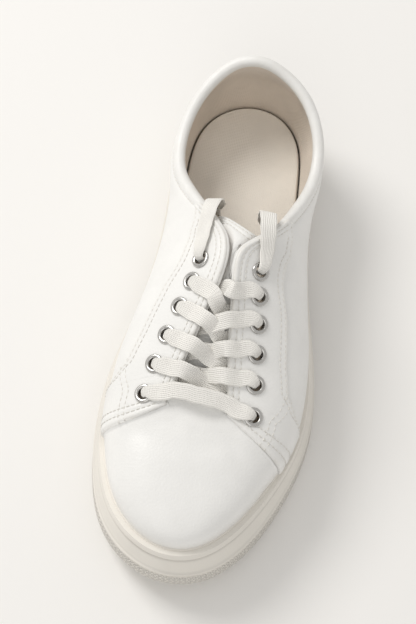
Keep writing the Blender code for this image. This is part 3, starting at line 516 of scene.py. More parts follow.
# Side of the cup, bottom to top.
cup_side = [
    # share of its height, inset in cup insets
    (0.000, 0.250), (0.040, 0.100), (0.120, 0.110), (0.150, 0.220), (0.680, 0.480),
    (0.740, 0.640), (0.820, 0.500), (1.000, 0.660),
]
bottom = outsole_height + gap
side = rounded(cup_side)
rings = [sole_ring(inset, bottom + share * (cup_height - bottom), places, wrap=float(share))
         for share, inset in side]
rings += [sole_ring(inset, cup_height, places, wrap=1.0) for inset in (0.76, 0.88, 0.97)]
rings += [sole_ring(1.0, cup_height - 0.0003, places, wrap=1.0)]
rings += [sole_ring(1.0, floor_height + share * (cup_height - floor_height), places, wrap=share)
          for share in (0.66, 0.33, 0.0)]
points = np.vstack(rings)
faces = grid_faces(len(rings), sole_columns, closed_columns=True)
inner, cap = across_ring(rings[0], 0, len(points), 8)
faces += cap
points = np.vstack([points, inner])
inner, cap = across_ring(rings[-1], (len(rings) - 1) * sole_columns, len(points), 8)
faces += cap
points = np.vstack([points, inner])
cup = new_piece("cup_rubber", points, faces, [rubber("smooth_rubber", False)], sharp=0.9)
# Painted shade in the cup's fine groove and just above the ridge at its foot.
shade = 0.75 * bell(side[:, 0], groove_share, 0.045) + 0.35 * bell(side[:, 0], ridge_share, 0.03)
paint_groove_shade(cup, np.repeat(shade, sole_columns))
stand_for(cup, "midsole", "midsole")


# Cement line. The thin bead of cream rubber cement that squeezes out of the joint when the upper
# is pressed into the cup, and fills it all round.
bond_radius = 0.0007
bond_sides = 10
ring = sole_ring(1.0, cup_height, places, play=0.5 * gap, wrap=1.0)
way = np.roll(ring, -1, 0) - np.roll(ring, 1, 0)
aside = np.cross(way, (0.0, 0.0, 1.0))
aside /= np.linalg.norm(aside, axis=1)[:, None]
rings = [ring + bond_radius * (aside * np.cos(turn) + np.array([0.0, 0.0, np.sin(turn)]))
         for turn in np.linspace(0.0, 2 * pi, bond_sides, endpoint=False)]
faces = grid_faces(len(rings), sole_columns, closed_rows=True, closed_columns=True)
bond = new_piece("bond_line", np.vstack(rings), faces, [cup.data.materials[0]])
stand_for(bond, "midsole")


# Insole. A foam sock covered in pale beige fabric, glued on the cup's floor inside the upper. It
# is a little crowned, pressed in under the heel, and bare of any print.
leather_wall = 0.0020
insole_thickness = 0.0055
insole_play = 0.0006
heel_dent_depth = 0.0009
heel_dent_place = 0.085   # y of its middle
heel_dent_across, heel_dent_along = 0.022, 0.040
insole_weave_pitch = 0.0009
insole_beige = (0.86, 0.81, 0.735)
edge = gap + leather_wall + insole_play
low = floor_height + gap
levels = [(0.0, 0.0), (0.55, 0.0), (0.80, 0.0002), (0.95, 0.0006), (1.0, 0.0012)]
rings = [sole_ring(1.0, low + share * insole_thickness, places, play=edge + more)
         for share, more in levels]
points = np.vstack(rings)
faces = grid_faces(len(rings), sole_columns, closed_columns=True)
inner, cap = across_ring(rings[0], 0, len(points), 8)
faces += cap
points = np.vstack([points, inner])
inner, cap = across_ring(rings[-1], (len(rings) - 1) * sole_columns, len(points), 36)
faces += cap
heel_dent = bell(inner[:, 1], heel_dent_place, heel_dent_along) \
    * bell(inner[:, 0], 0.0, heel_dent_across)
inner[:, 2] -= heel_dent_depth * heel_dent
points = np.vstack([points, inner])
sock, shader, place = new_finish("insole_fabric", insole_beige, 0.9)
weave = (place.axis("X") * (2 * pi / insole_weave_pitch)).sine() \
    + (place.axis("Y") * (2 * pi / insole_weave_pitch)).sine()
worn = place.noise(30.0, 3.0).smooth(0.3, 0.75)
feed(shader, Base_Color=worn.blend(tint(insole_beige, 1.06), tint(insole_beige, 0.94)),
     Normal=(weave * 0.5 + place.noise(1600.0) * 0.6).bump(0.00006))
shader.inputs["Sheen Weight"].default_value = 0.15
insole = new_piece("insole_sock", points, faces, [sock], sharp=1.0)
stand_for(insole, "insole", "insole")


# Upper. Smooth white leather over a thin beige textile lining, cut and sewn into one hollow wall:
# the vamp over the toes, the quarters over it with a raised edge, and a softly padded collar.
leather_white = (0.86, 0.855, 0.836)
lining_beige = (0.73, 0.65, 0.56)
collar_height = 0.073     # top of the heel
instep_height = 0.090     # top corner of the facings
collar_pad = 0.0035
quarter_step = 0.0006
upper_columns = 640

# Top edge from the heel round the outer side: collar, outer facing, bottom of the throat, inner
# facing, collar. Height is a share of the way from the cup's edge up to the named height.
top_edge_rows = [
    # across, along, height, of
    (0.060, 0.938, 1.000, collar_height), (0.340, 0.905, 0.918, collar_height),
    (0.560, 0.830, 0.822, collar_height), (0.690, 0.735, 0.733, collar_height),
    (0.745, 0.635, 0.674, collar_height), (0.730, 0.515, 0.666, collar_height),
    (0.660, 0.405, 0.788, collar_height), (0.560, 0.300, 0.705, instep_height),
    (0.455, 0.215, 0.825, instep_height), (0.340, 0.148, 0.925, instep_height),
    (0.225, 0.100, 0.975, instep_height), (0.130, 0.050, 1.000, instep_height),
    (0.105, -0.030, 0.950, instep_height), (0.120, -0.100, 0.880, instep_height),
    (0.135, -0.180, 0.795, instep_height), (0.150, -0.260, 0.710, instep_height),
    (0.172, -0.335, 0.630, instep_height), (0.195, -0.410, 0.555, instep_height),
    (0.205, -0.475, 0.505, instep_height), (0.110, -0.490, 0.500, instep_height),
    (-0.045, -0.486, 0.515, instep_height), (-0.205, -0.488, 0.520, instep_height),
    (-0.310, -0.470, 0.530, instep_height), (-0.280, -0.410, 0.580, instep_height),
    (-0.225, -0.335, 0.645, instep_height), (-0.165, -0.260, 0.720, instep_height),
    (-0.100, -0.180, 0.800, instep_height), (-0.035, -0.100, 0.880, instep_height),
    (0.015, -0.025, 0.945, instep_height), (0.030, 0.050, 0.985, instep_height),
    (-0.010, 0.120, 0.955, instep_height), (-0.090, 0.180, 0.880, instep_height),
    (-0.190, 0.240, 0.790, instep_height), (-0.320, 0.310, 0.680, instep_height),
    (-0.450, 0.385, 0.788, collar_height), (-0.560, 0.465, 0.698, collar_height),
    (-0.610, 0.565, 0.671, collar_height), (-0.590, 0.680, 0.698, collar_height),
    (-0.510, 0.780, 0.767, collar_height), (-0.370, 0.865, 0.863, collar_height),
    (-0.170, 0.925, 0.959, collar_height),
]
# Which row of the top edge stands over which place of the sole's outline.
pairs = [
    # top row, side, along
    (0, 1, 1.000), (4, 1, 0.600), (8, 1, 0.180), (12, 1, -0.090), (16, 1, -0.370),
    (18, 1, -0.610), (20, 1, -1.000), (22, -1, -0.545), (24, -1, -0.360), (28, -1, -0.010),
    (32, -1, 0.250), (36, -1, 0.580),
]
# Bend of the wall: swell and flare in shares of the ball width, sweep of the sole's length, rise
# and drop of the wall's height.
wall_bend = [
    # top row, swell, rise, flare, drop, sweep
    (0, 0.050, 0.45, 0.045, 0.38, 0.000), (4, 0.055, 0.42, 0.045, 0.35, 0.000),
    (8, 0.080, 0.50, 0.100, 0.30, 0.000), (12, 0.070, 0.56, 0.215, 0.20, 0.000),
    (16, 0.040, 0.60, 0.235, 0.15, -0.006), (18, 0.030, 0.66, 0.200, 0.12, -0.022),
    (20, 0.030, 0.80, 0.290, 0.22, 0.000), (22, 0.030, 0.66, 0.180, 0.12, -0.034),
    (24, 0.035, 0.60, 0.200, 0.15, -0.010), (28, 0.055, 0.56, 0.190, 0.20, 0.000),
    (32, 0.080, 0.50, 0.085, 0.30, 0.000), (36, 0.055, 0.42, 0.040, 0.35, 0.000),
]


def place_on_outline(side, along):
    """Place round the sole's outline of a point given by its side and its y."""
    toe = int(np.argmin(outline[:, 1]))
    if abs(along) == 1.0:
        return 0.0 if along > 0.0 else toe / dense
    order = np.arange(dense)
    half = order[(order < toe) if side > 0 else (order > toe)]
    return half[np.argmin(np.abs(outline[half, 1] - along * sole_length / 2))] / dense


top, top_places = closed_curve([(x * ball_width / 2, y * sole_length / 2,
                                 cup_height + share * (full - cup_height))
                                for x, y, share, full in top_edge_rows])
around_fine = np.arange(dense) / dense
knots, shifts = [], []
for row, side_sign, along in pairs:
    sole_place = place_on_outline(side_sign, along)
    knots.append((sole_place + top_places[row]) / 2)
    shifts.append((sole_place - knots[-1], top_places[row] - knots[-1]))
pairing = periodic_spline(knots, shifts, 1.0)
top_place_fine = around_fine + pairing(around_fine)[:, 1]


def around_of_row(row):
    """Place around the upper of a place between two rows of the top edge."""
    place = np.interp(row, np.arange(len(top_places)), top_places)
    return np.interp(place, top_place_fine, around_fine)


wall_bends = periodic_spline([around_of_row(row[0]) for row in wall_bend],
                             [row[1:] for row in wall_bend], 1.0)


def upper_surface(around, up):
    """Points of the upper's outer face. around runs 0 to 1 from the heel over the outer side, up
    from 0 at the cup's edge to 1 at the top edge; below 0 it goes down into the cup."""
    around, up = np.broadcast_arrays(np.asarray(around, float), np.asarray(up, float))
    shape = around.shape
    around, up = around.ravel(), up.ravel()
    shift = pairing(around)
    place = around + shift[:, 0]
    bite = sole_ring(1.0, cup_height, place, play=gap, wrap=1.0)
    out = np.column_stack([along_curve(outline_normal, place), np.zeros(len(place))])
    crest = along_curve(top, around + shift[:, 1])
    swell, rise, flare, drop, sweep = wall_bends(around).T
    height = crest[:, 2] - bite[:, 2]
    upward = np.array([0.0, 0.0, 1.0])
    backward = np.array([0.0, sole_length, 0.0])
    low_handle = (bite + out * (swell * ball_width)[:, None] + upward * (rise * height)[:, None]
                  + backward * 0.4 * sweep[:, None])
    high_handle = (crest + out * (flare * ball_width)[:, None] - upward * (drop * height)[:, None]
                   + backward * sweep[:, None])
    t = np.clip(up, 0.0, 1.0)[:, None]
    points = (bite * (1 - t) ** 3 + 3 * low_handle * t * (1 - t) ** 2
              + 3 * high_handle * t ** 2 * (1 - t) + crest * t ** 3)
    foot = spring(bite[:, 1]) + floor_height + gap
    points[:, 2] += np.clip(up, -1.0, 0.0) * (bite[:, 2] - foot)
    return points.reshape(*shape, 3)


def upper_normal(around, up):
    """Outward normals of the upper's outer face."""
    step = 0.004
    around, up = np.broadcast_arrays(np.asarray(around, float), np.asarray(up, float))
    above, under = np.clip(up + step, None, 1.0), np.clip(up - step, 0.0, None)
    flat = above <= under
    above, under = np.where(flat, step, above), np.where(flat, 0.0, under)
    upwards = upper_surface(around, above) - upper_surface(around, under)
    sideways = upper_surface(around + step, up) - upper_surface(around - step, up)
    normal = np.cross(upwards, sideways)
    return normal / np.linalg.norm(normal, axis=-1)[..., None]


outer_front, inner_front = around_of_row(18), around_of_row(22)
outer_corner, inner_corner = around_of_row(11), around_of_row(29)


def wall_thickness(around, up):
    """The leather's own thickness, and the collar's padding towards its top edge."""
    to_outer = smoothstep(around, outer_corner - 0.10, outer_corner - 0.02)
    to_inner = smoothstep(around, inner_corner + 0.02, inner_corner + 0.10)
    return leather_wall + collar_pad * (1.0 - to_outer + to_inner) * smoothstep(up, 0.30, 0.85)


def wall_runs(around):
    """For each place around: distances down from the top edge at the levels of wall_levels."""
    line = upper_surface(np.asarray(around)[:, None], wall_levels[None, :])
    step = np.linalg.norm(np.diff(line, axis=1), axis=2)
    return np.concatenate([np.zeros((len(line), 1)), np.cumsum(step, axis=1)], axis=1)


wall_levels = np.linspace(1.0, 0.0, 121)


def on_wall(around, distance, lift=0.0):
    """Points a distance down from the top edge and a lift off the face, with their normals."""
    around, distance = np.broadcast_arrays(np.atleast_1d(around), np.atleast_1d(distance))
    runs = wall_runs(around)
    up = np.array([np.interp(d, run, wall_levels) for d, run in zip(distance, runs)])
    normal = upper_normal(around, up)
    return upper_surface(around, up) + normal * np.reshape(lift, (-1, 1)), normal


def trough(points, line, width, depth):
    """How far a soft crease along a line of (x, y) presses each point in, with a low ridge beside."""
    line = np.asarray(line, float)
    best = np.full(len(points), 1e9)
    for a, b in zip(line[:-1], line[1:]):
        way = b - a
        t = np.clip(((points[:, :2] - a) @ way) / (way @ way), 0.0, 1.0)
        best = np.minimum(best, np.linalg.norm(points[:, :2] - a - t[:, None] * way, axis=1))
    return depth * (bell(best, 0.0, width) - 0.35 * bell(best, 2.1 * width, width))


# Creases of the vamp, soft and few, because the shoe is little worn.
creases = [
    # line of (x, y), width, depth
    ([(-0.030, -0.078), (-0.012, -0.083), (0.006, -0.082)], 0.0040, 0.00022),
    ([(0.000, -0.074), (0.016, -0.079), (0.028, -0.090)], 0.0035, 0.00022),
    ([(0.030, -0.078), (0.036, -0.094), (0.033, -0.108)], 0.0040, 0.00030),
    ([(-0.040, -0.072), (-0.038, -0.088), (-0.030, -0.100)], 0.0050, 0.00020),
]


def outer_relief(around, up, points, run):
    """How far the sewn and worn outer face lies outside the plain one."""
    vamp = smoothstep(around, outer_front, outer_front + 0.0015) \
        - smoothstep(around, inner_front - 0.0015, inner_front)
    relief = -quarter_step * vamp * smoothstep(up, 0.0, 0.08)
    collar = 1.0 - smoothstep(around, outer_corner - 0.05, outer_corner - 0.01) \
        + smoothstep(around, inner_corner + 0.01, inner_corner + 0.05)
    relief = relief + collar * (0.00030 * bell(run, 0.0030, 0.0022) - 0.00042 * bell(run, 0.0068, 0.0011)
                                + 0.00018 * bell(run, 0.0115, 0.0030))
    flat = points.reshape(-1, 3)
    for line, width, depth in creases:
        relief = relief - vamp * trough(flat, line, width, depth).reshape(around.shape)
    return relief


columns = np.linspace(0.0, 1.0, upper_columns, endpoint=False)
seam_places = [outer_front, outer_front + 0.0015, inner_front - 0.0015, inner_front]
columns = np.array(sorted([c for c in columns if min(abs(c - s) for s in seam_places) > 0.0005]
                          + seam_places))
runs = wall_runs(columns)
thick_top = wall_thickness(columns, np.ones(len(columns)))
margin = 0.5 * thick_top / runs[:, -1]


def wall_grid(level, side):
    """One ring of the wall at a share of the way up to where the rolled edge starts."""
    up = np.where(level > 0.0, level * (1.0 - margin), level)
    points = upper_surface(columns, up)
    normal = upper_normal(columns, up)
    if side == "inner":
        return points - normal * wall_thickness(columns, up)[:, None]
    run = np.array([np.interp(u, wall_levels[::-1], r[::-1]) for u, r in zip(up, runs)])
    return points + normal * outer_relief(columns, up, points, run)[:, None]


outer_levels = np.concatenate([[-1.0, -0.5], 1.0 - (1.0 - np.linspace(0.0, 1.0, 64)) ** 1.25])
inner_levels = np.concatenate([np.linspace(1.0, 0.0, 26), [-0.5, -1.0]])
rings = [wall_grid(level, "outer") for level in outer_levels]
rim_out, rim_in = rings[-1], wall_grid(1.0, "inner")
middle = (rim_out + rim_in) / 2
peak = upper_surface(columns, 1.0) - upper_surface(columns, 1.0 - margin)
for turn in np.linspace(0.0, pi, 9)[1:-1]:
    rings.append(middle + (rim_out - rim_in) / 2 * np.cos(turn) + peak * np.sin(turn))
lining_from = len(rings)
rings += [wall_grid(level, "inner") for level in inner_levels]
points = np.vstack(rings)
faces = grid_faces(len(rings), len(columns), closed_rows=True, closed_columns=True)


def leather(name, colour, roughness):
    """Smooth finished leather: faint clouds of tone, a close grain and tiny pores, a soft gloss
    that varies, and a warm trace of dust where the surface is marked worn."""
    mat, shader, place = new_finish(name, colour, roughness)
    cloud = place.noise(34.0, 4.0, 0.6).smooth(0.32, 0.70)
    worn = place.node("ShaderNodeAttribute", {}, output="Fac", attribute_name="worn")
    clean = cloud.blend(tint(colour, 1.025), tint(colour, 0.975))
    dusty = (colour[0] * 0.90, colour[1] * 0.875, colour[2] * 0.83, 1.0)
    scuff = place.noise(160.0, 5.0, 0.7).smooth(0.40, 0.62)
    feed(shader, Base_Color=(worn * (scuff * 0.7 + 0.3)).blend(clean, dusty),
         Roughness=cloud * 0.08 + worn * 0.12 + (roughness - 0.04))
    grain = place.cells(1050.0) * 0.8 + place.noise(2300.0, 2.0) * 0.35 + place.noise(260.0, 3.0) * 0.6
    feed(shader, Normal=grain.bump(0.00011))
    shader.inputs["Specular IOR Level"].default_value = 0.45
    shader.inputs["Coat Weight"].default_value = 0.06
    shader.inputs["Coat Roughness"].default_value = 0.35
    return mat


def lining(name, colour):
    """Close woven textile."""
    mat, shader, place = new_finish(name, colour, 0.92)
    threads = ((place.axis("Z") * (2 * pi / 0.0008)).sine()
               + ((place.axis("Y") + place.axis("X") * 0.6) * (2 * pi / 0.0009)).sine())
    shade = place.noise(40.0, 3.0).smooth(0.3, 0.7)
    feed(shader, Base_Color=shade.blend(tint(colour, 1.05), tint(colour, 0.93)),
         Normal=(threads * 0.4 + place.noise(1300.0) * 0.7).bump(0.00008))
    shader.inputs["Sheen Weight"].default_value = 0.2
    return mat


white_leather = leather("white_leather", leather_white, 0.40)
shoe_lining = lining("beige_lining", lining_beige)


def mark_worn(piece, amount):
    layer = piece.data.attributes.new("worn", "FLOAT", "POINT")
    layer.data.foreach_set("value", np.clip(amount, 0.0, 1.0).astype(np.float32))


upper = new_piece("upper_leather", points, faces, [white_leather, shoe_lining], sharp=None)
ring_of_face = np.repeat(np.arange(len(rings)), len(columns))
upper.data.polygons.foreach_set("material_index",
                                (ring_of_face >= lining_from).astype(np.int32))
level_of_point = np.repeat(np.concatenate([outer_levels, np.ones(lining_from - len(outer_levels)),
                                           np.zeros(len(inner_levels))]), len(columns))
mark_worn(upper, 0.55 * bell(level_of_point, 0.0, 0.05) + 0.25 * bell(level_of_point, 1.0, 0.03))


# Eyelets. Twelve rolled rings of nickel-plated metal, pressed through facing and upper, six pairs
# in all. Their places are worked out first, because the leather is pierced for them.
facing_leather = 0.0011
eyelet_inset = 0.0143
eyelet_radius = 0.0047
eyelet_bore = 0.0027
eyelet_wall = 0.0004
eyelet_flange = 0.0008
eyelet_span = {-1: (0.135, 0.900), 1: (0.115, 0.990)}   # first and last, shares of the throat
eyelet_pairs = 6


def near_throat(side, share, distance, lift):
    """Point by the throat: share 0 at its bottom corner to 1 at the facing's top corner, a
    distance down from the edge (below 0: out over the throat), and the normal there."""
    bottom_row, top_row = (18, 11.5) if side > 0 else (22, 29.3)
    around = around_of_row(bottom_row + (top_row - bottom_row) * share)
    point, normal = on_wall(around, max(distance, 0.0), lift)
    point, normal = point[0], normal[0]
    if distance < 0.0:
        edge_way = upper_surface(around, 1.0) - upper_surface(around, 0.97)
        point = point - edge_way / np.linalg.norm(edge_way) * distance
    return point, normal


def eyelet_share(side, pair):
    first, last = eyelet_span[side]
    return first + (last - first) * pair / (eyelet_pairs - 1)


eyelet_seats = [near_throat(side, eyelet_share(side, k), eyelet_inset, gap + facing_leather)
                for side in (-1, 1) for k in range(eyelet_pairs)]


def drill(seat, radius, depth):
    """Closed cylinder along an eyelet's axis."""
    point, normal = seat
    turn = np.array(Vector(normal).to_track_quat("Z", "Y").to_matrix())
    angle = np.linspace(0.0, 2 * pi, 24, endpoint=False)
    ring = np.column_stack([np.cos(angle) * radius, np.sin(angle) * radius, 0 * angle])
    ends = [ring + (0, 0, z) for z in (-depth, depth)]
    points = np.vstack(ends) @ turn.T + point
    faces = grid_faces(2, 24, closed_columns=True)
    return points, faces + [tuple(range(23, -1, -1)), tuple(range(24, 48))]


barrel = eyelet_bore + eyelet_wall
carve(upper, [drill(seat, barrel + gap, 0.010) for seat in eyelet_seats])
stand_for(upper, "upper", "upper")


# Facings. Two strips of the same leather sewn on the quarters along the throat, running down to
# the cup in front. Their edges are turned, and double rows of stitches hold them.
facing_width = 0.0315
facing_edge = 0.0004
facing_foot = 0.045       # share of the wall's height where the front ends over the cup
facing_columns, facing_rows = 210, 52
outer_facing_rows = [
    # top row, width in facing widths
    (7.5, 0.14), (8.2, 0.42), (9.4, 0.72), (11.0, 0.92), (13.0, 1.00), (15.0, 1.00), (16.0, 1.05),
    (16.5, 1.30), (16.8, 1.80), (17.0, 3.00), (18.0, 3.00),
]
inner_facing_rows = [
    (32.8, 0.14), (32.0, 0.38), (30.8, 0.66), (29.4, 0.86), (27.5, 1.00), (25.5, 1.00),
    (24.4, 1.05), (23.9, 1.30), (23.6, 1.80), (23.3, 3.00), (22.0, 3.00),
]
edge_seams = (0.0031, 0.0060)     # stitch rows in from the throat and front edges
lower_seams = (0.0018, 0.0046)    # stitch rows up from the lower edge
facing_edge_radius = 0.0010
facing_wear_reach = 0.0030
seam_width = 0.00075
upper_seam_depth, lower_seam_depth = 0.00016, 0.00014
seam_puff = 0.00022               # how far the leather swells beside a seam
seam_puff_reach = 0.0009
edge_puff_place = 0.0016


class Facing:
    """The columns of a facing: places around, runs down the wall, and its borders."""

    def __init__(self, table):
        rows = np.array(table)
        share = np.linspace(0.0, len(rows) - 1.0, facing_columns)
        top_rows = np.interp(share, np.arange(len(rows)), rows[:, 0])
        widths = np.interp(share, np.arange(len(rows)), rows[:, 1]) * facing_width
        self.around = around_of_row(top_rows)
        self.runs = wall_runs(self.around)
        foot = np.array([np.interp(facing_foot, wall_levels[::-1], run[::-1]) for run in self.runs])
        self.at_foot = widths >= foot
        self.width = np.minimum(widths, foot)
        line = self.points(np.full(facing_columns, 0.010))[0]
        self.from_back = run_along(line)
        self.from_front = self.from_back[-1] - self.from_back

    def points(self, distance, lift=0.0):
        """One point for each column, a distance down the wall and a lift off it, and normals."""
        up = np.array([np.interp(d, run, wall_levels) for d, run in zip(distance, self.runs)])
        normal = upper_normal(self.around, up)
        return upper_surface(self.around, up) + normal * np.reshape(lift, (-1, 1)), normal

    def spot(self, column, distance, lift):
        """A point between two columns."""
        k = min(max(int(column), 0), facing_columns - 2)
        rest = column - k
        around = self.around[k] * (1 - rest) + self.around[k + 1] * rest
        run = self.runs[k] * (1 - rest) + self.runs[k + 1] * rest
        up = np.interp(distance, run, wall_levels)
        normal = upper_normal(around, up)
        return upper_surface(around, up) + normal * lift, normal


def sheet_solid(name, outer, inner, mats):
    """A thin solid between two grids of points of one size, closed along its border."""
    rows, columns = outer.shape[:2]
    under = rows * columns
    points = np.vstack([outer.reshape(-1, 3), inner.reshape(-1, 3)])
    faces = grid_faces(rows, columns) + [f[::-1] for f in grid_faces(rows, columns, first=under)]
    border = list(range(columns)) + [i * columns + columns - 1 for i in range(1, rows)]
    border += [(rows - 1) * columns + j for j in range(columns - 2, -1, -1)]
    border += [i * columns for i in range(rows - 2, 0, -1)]
    for a, b in zip(border, border[1:] + border[:1]):
        faces.append((b, a, under + a, under + b))
    return new_piece(name, points, faces, mats)


def edge_round(distance, radius):
    """0 at a border, 1 from a radius inwards, along a quarter circle."""
    return np.sqrt(1.0 - (1.0 - np.clip(distance / radius, 0.0, 1.0)) ** 2)


def seam_dents(distance, seams, depth):
    """How far the thread pulls the leather in along its seams."""
    return -depth * sum(bell(distance, seam, seam_width) for seam in seams)


rest_on = 0.3 * gap       # the dressed pieces lie this close
drill_depth = 0.006


def sew_facing(name, table, node, seats):
    """One facing with turned edges, dented along its seams and punched for its eyelets."""
    facing = Facing(table)
    share = 0.5 - 0.5 * np.cos(np.linspace(0.0, pi, facing_rows))
    outer, inner, worn = [], [], []
    for part in share:
        distance = facing_edge + (facing.width - facing_edge) * part
        to_lower = np.where(facing.at_foot, 0.004, facing.width - distance)
        to_top = np.minimum(distance - facing_edge, facing.from_front)
        border = np.minimum(np.minimum(to_lower, to_top), facing.from_back)
        lift = rest_on + facing_leather * edge_round(border, facing_edge_radius)
        lift += seam_dents(to_top, edge_seams, upper_seam_depth)
        lift += seam_dents(to_lower, lower_seams, lower_seam_depth)
        lift += seam_puff * bell(to_top, 0.5 * sum(edge_seams), seam_puff_reach)
        lift += seam_puff * bell(border, edge_puff_place, seam_puff_reach)
        outer.append(facing.points(distance, lift)[0])
        inner.append(facing.points(distance, 0.5 * rest_on)[0])
        worn.append(0.5 * bell(border, 0.0, 0.2 * facing_wear_reach)
                    + 0.3 * bell(border, 0.0, facing_wear_reach))
    piece = sheet_solid(name, np.array(outer), np.array(inner), [white_leather])
    mark_worn(piece, np.concatenate([np.array(worn).ravel(), np.zeros(np.size(worn))]))
    carve(piece, [drill(seat, barrel + 0.5 * gap, drill_depth) for seat in seats])
    stand_for(piece, "facing", node)
    return facing


outer_facing = sew_facing("facing_outer_leather", outer_facing_rows, "facing_outer", eyelet_seats[6:])
inner_facing = sew_facing("facing_inner_leather", inner_facing_rows, "facing_inner", eyelet_seats[:6])


# Eyelets. Twelve nickel rings, each turned in one profile: a rolled flange over the facing and a
# barrel that goes through it. They are pressed on their seats, here by a node tree.
nickel, shader, place = new_finish("nickel", (0.60, 0.59, 0.57), 0.24)
shader.inputs["Metallic"].default_value = 1.0
smear = place.noise(700.0, 4.0, 0.6)
feed(shader, Roughness=smear * 0.25 + 0.14, Normal=smear.bump(0.00003))


def node_tree(name, *inputs):
    """A geometry node tree with named inputs: a wire to start from, and its inputs as wires."""
    tree = bpy.data.node_groups.new(name, "GeometryNodeTree")
    tree.interface.new_socket(name="Geometry", in_out="INPUT", socket_type="NodeSocketGeometry")
    tree.interface.new_socket(name="Geometry", in_out="OUTPUT", socket_type="NodeSocketGeometry")
    for label, kind in inputs:
        tree.interface.new_socket(name=label, in_out="INPUT", socket_type=kind)
    entry = tree.nodes.new("NodeGroupInput")
    return Wire(tree), {s.name: Wire(tree, s) for s in entry.outputs if s.name}


def close_tree(wire, material):
    """The last steps of every tree: real meshes, shaded smooth, with their material."""
    real = wire.node("GeometryNodeRealizeInstances", {0: wire})
    smooth = real.node("GeometryNodeSetShadeSmooth", {0: real})
    done = smooth.node("GeometryNodeSetMaterial", {0: smooth, "Material": material})
    exit_node = done.tree.nodes.new("NodeGroupOutput")
    done.tree.links.new(done.socket, exit_node.inputs[0])


def grow(name, tree, points, edges, facing, **values):
    """Runs a tree on points that carry the way they face, and keeps the result as a plain mesh."""
    mesh = bpy.data.meshes.new(name)
    mesh.from_pydata(np.asarray(points).tolist(), edges, [])
    layer = mesh.attributes.new("facing", "FLOAT_VECTOR", "POINT")
    layer.data.foreach_set("vector", np.asarray(facing, np.float32).ravel())
    piece = bpy.data.objects.new(name, mesh)
    bpy.context.scene.collection.objects.link(piece)
    grower = piece.modifiers.new("grow", "NODES")
    grower.node_group = tree
    for item in tree.interface.items_tree:
        if item.in_out == "INPUT" and item.name.replace(" ", "_") in values:
            grower[item.identifier] = values[item.name.replace(" ", "_")]
    graph = bpy.context.evaluated_depsgraph_get()
    grown = bpy.data.meshes.new_from_object(piece.evaluated_get(graph))
    piece.modifiers.clear()
    piece.data = grown
    return piece


def turned(name, profile, sides):
    """A closed profile of (radius, height) turned round Z."""
    angle = np.linspace(0.0, 2 * pi, sides, endpoint=False)
    rings = [np.column_stack([r * np.cos(angle), r * np.sin(angle), z + 0 * angle])
             for r, z in profile]
    faces = grid_faces(len(rings), sides, closed_rows=True, closed_columns=True)
    return new_piece(name, np.vstack(rings), faces, [], sharp=1.0)


eyelet_barrel_length = 0.0033
eyelet_chamfer = 0.0003
eyelet_sides = 32
roll = np.linspace(0.0, pi, 9)
middle_radius, half_roll = (eyelet_bore + eyelet_radius) / 2, (eyelet_radius - eyelet_bore) / 2
profile = [(middle_radius - half_roll * np.cos(t), eyelet_flange * np.sin(t) ** 0.8) for t in roll]
profile += [(barrel, 0.0), (barrel, eyelet_chamfer - eyelet_barrel_length),
            (barrel - 0.0002, -eyelet_barrel_length), (eyelet_bore, -eyelet_barrel_length)]
ring_model = turned("eyelet_model", profile, eyelet_sides)
start, given = node_tree("set_eyelets", ("Turned Ring", "NodeSocketObject"),
                         ("Metal", "NodeSocketMaterial"))
model = start.node("GeometryNodeObjectInfo", {"Object": given["Turned Ring"]}, output="Geometry")
facing_way = start.node("GeometryNodeInputNamedAttribute", {"Name": "facing"},
                        data_type="FLOAT_VECTOR")
upright = start.node("FunctionNodeAlignRotationToVector", {"Vector": facing_way}, axis="Z")
rings_set = start.node("GeometryNodeInstanceOnPoints",
                       {"Points": given["Geometry"], "Instance": model, "Rotation": upright})
close_tree(rings_set, given["Metal"])
eyelets = grow("eyelet_rings", start.tree, [p for p, _ in eyelet_seats], [],
               [n for _, n in eyelet_seats], Turned_Ring=ring_model, Metal=nickel)
bpy.data.objects.remove(ring_model)
stand_for(eyelets, "eyelet", *[f"eyelet_{word}_{k}" for word in ("inner", "outer")
                               for k in range(1, eyelet_pairs + 1)])


# Tongue. Padded leather, sewn under the vamp, free under the facings, and standing a little above
# them with a turned and double-stitched top edge.
tongue_thickness = 0.0035
tongue_room = 0.0027
tongue_rise = 0.026
tongue_reach = 0.017
tongue_seam = 0.008
tongue_dip = 0.0012
tongue_arch = 0.2
lace_width = 0.0080
tongue_rows, tongue_columns = 150, 84
tongue_sewn_rows = 20     # these lie under the vamp and stay as they are
tongue_ease_across, tongue_ease_along = 90, 40


def natural_spline(knots, values, places):
    """A smooth open curve through the values at the knots."""
    count = len(knots)
    step = np.diff(knots)
    slope = np.diff(values, axis=0) / step[:, None]
    matrix = np.eye(count)
    right_side = np.zeros_like(values)
    for i in range(1, count - 1):
        matrix[i, i - 1:i + 2] = step[i - 1], 2 * (step[i - 1] + step[i]), step[i]
        right_side[i] = 6.0 * (slope[i] - slope[i - 1])
    bend = np.linalg.solve(matrix, right_side)
    i = np.clip(np.searchsorted(knots, places, side="right") - 1, 0, count - 2)
    h, a = step[i][:, None], (places - knots[i])[:, None]
    b = h - a
    return ((bend[i] * b ** 3 + bend[i + 1] * a ** 3) / (6 * h)
            + (values[i] / h - bend[i] * h / 6) * b + (values[i + 1] / h - bend[i + 1] * h / 6) * a)


def refine(grid, rows, columns):
    """A grid of control points made finer by smooth curves both ways."""
    grid = np.asarray(grid, float)
    for count in (rows, columns):
        size = len(grid)
        flat = grid.reshape(size, -1)
        flat = natural_spline(np.arange(size, dtype=float), flat, np.linspace(0.0, size - 1.0, count))
        grid = flat.reshape(count, -1, 3).transpose(1, 0, 2)
    return grid


def unit(vectors):
    vectors = np.asarray(vectors, float)
    return vectors / np.linalg.norm(vectors, axis=-1)[..., None]


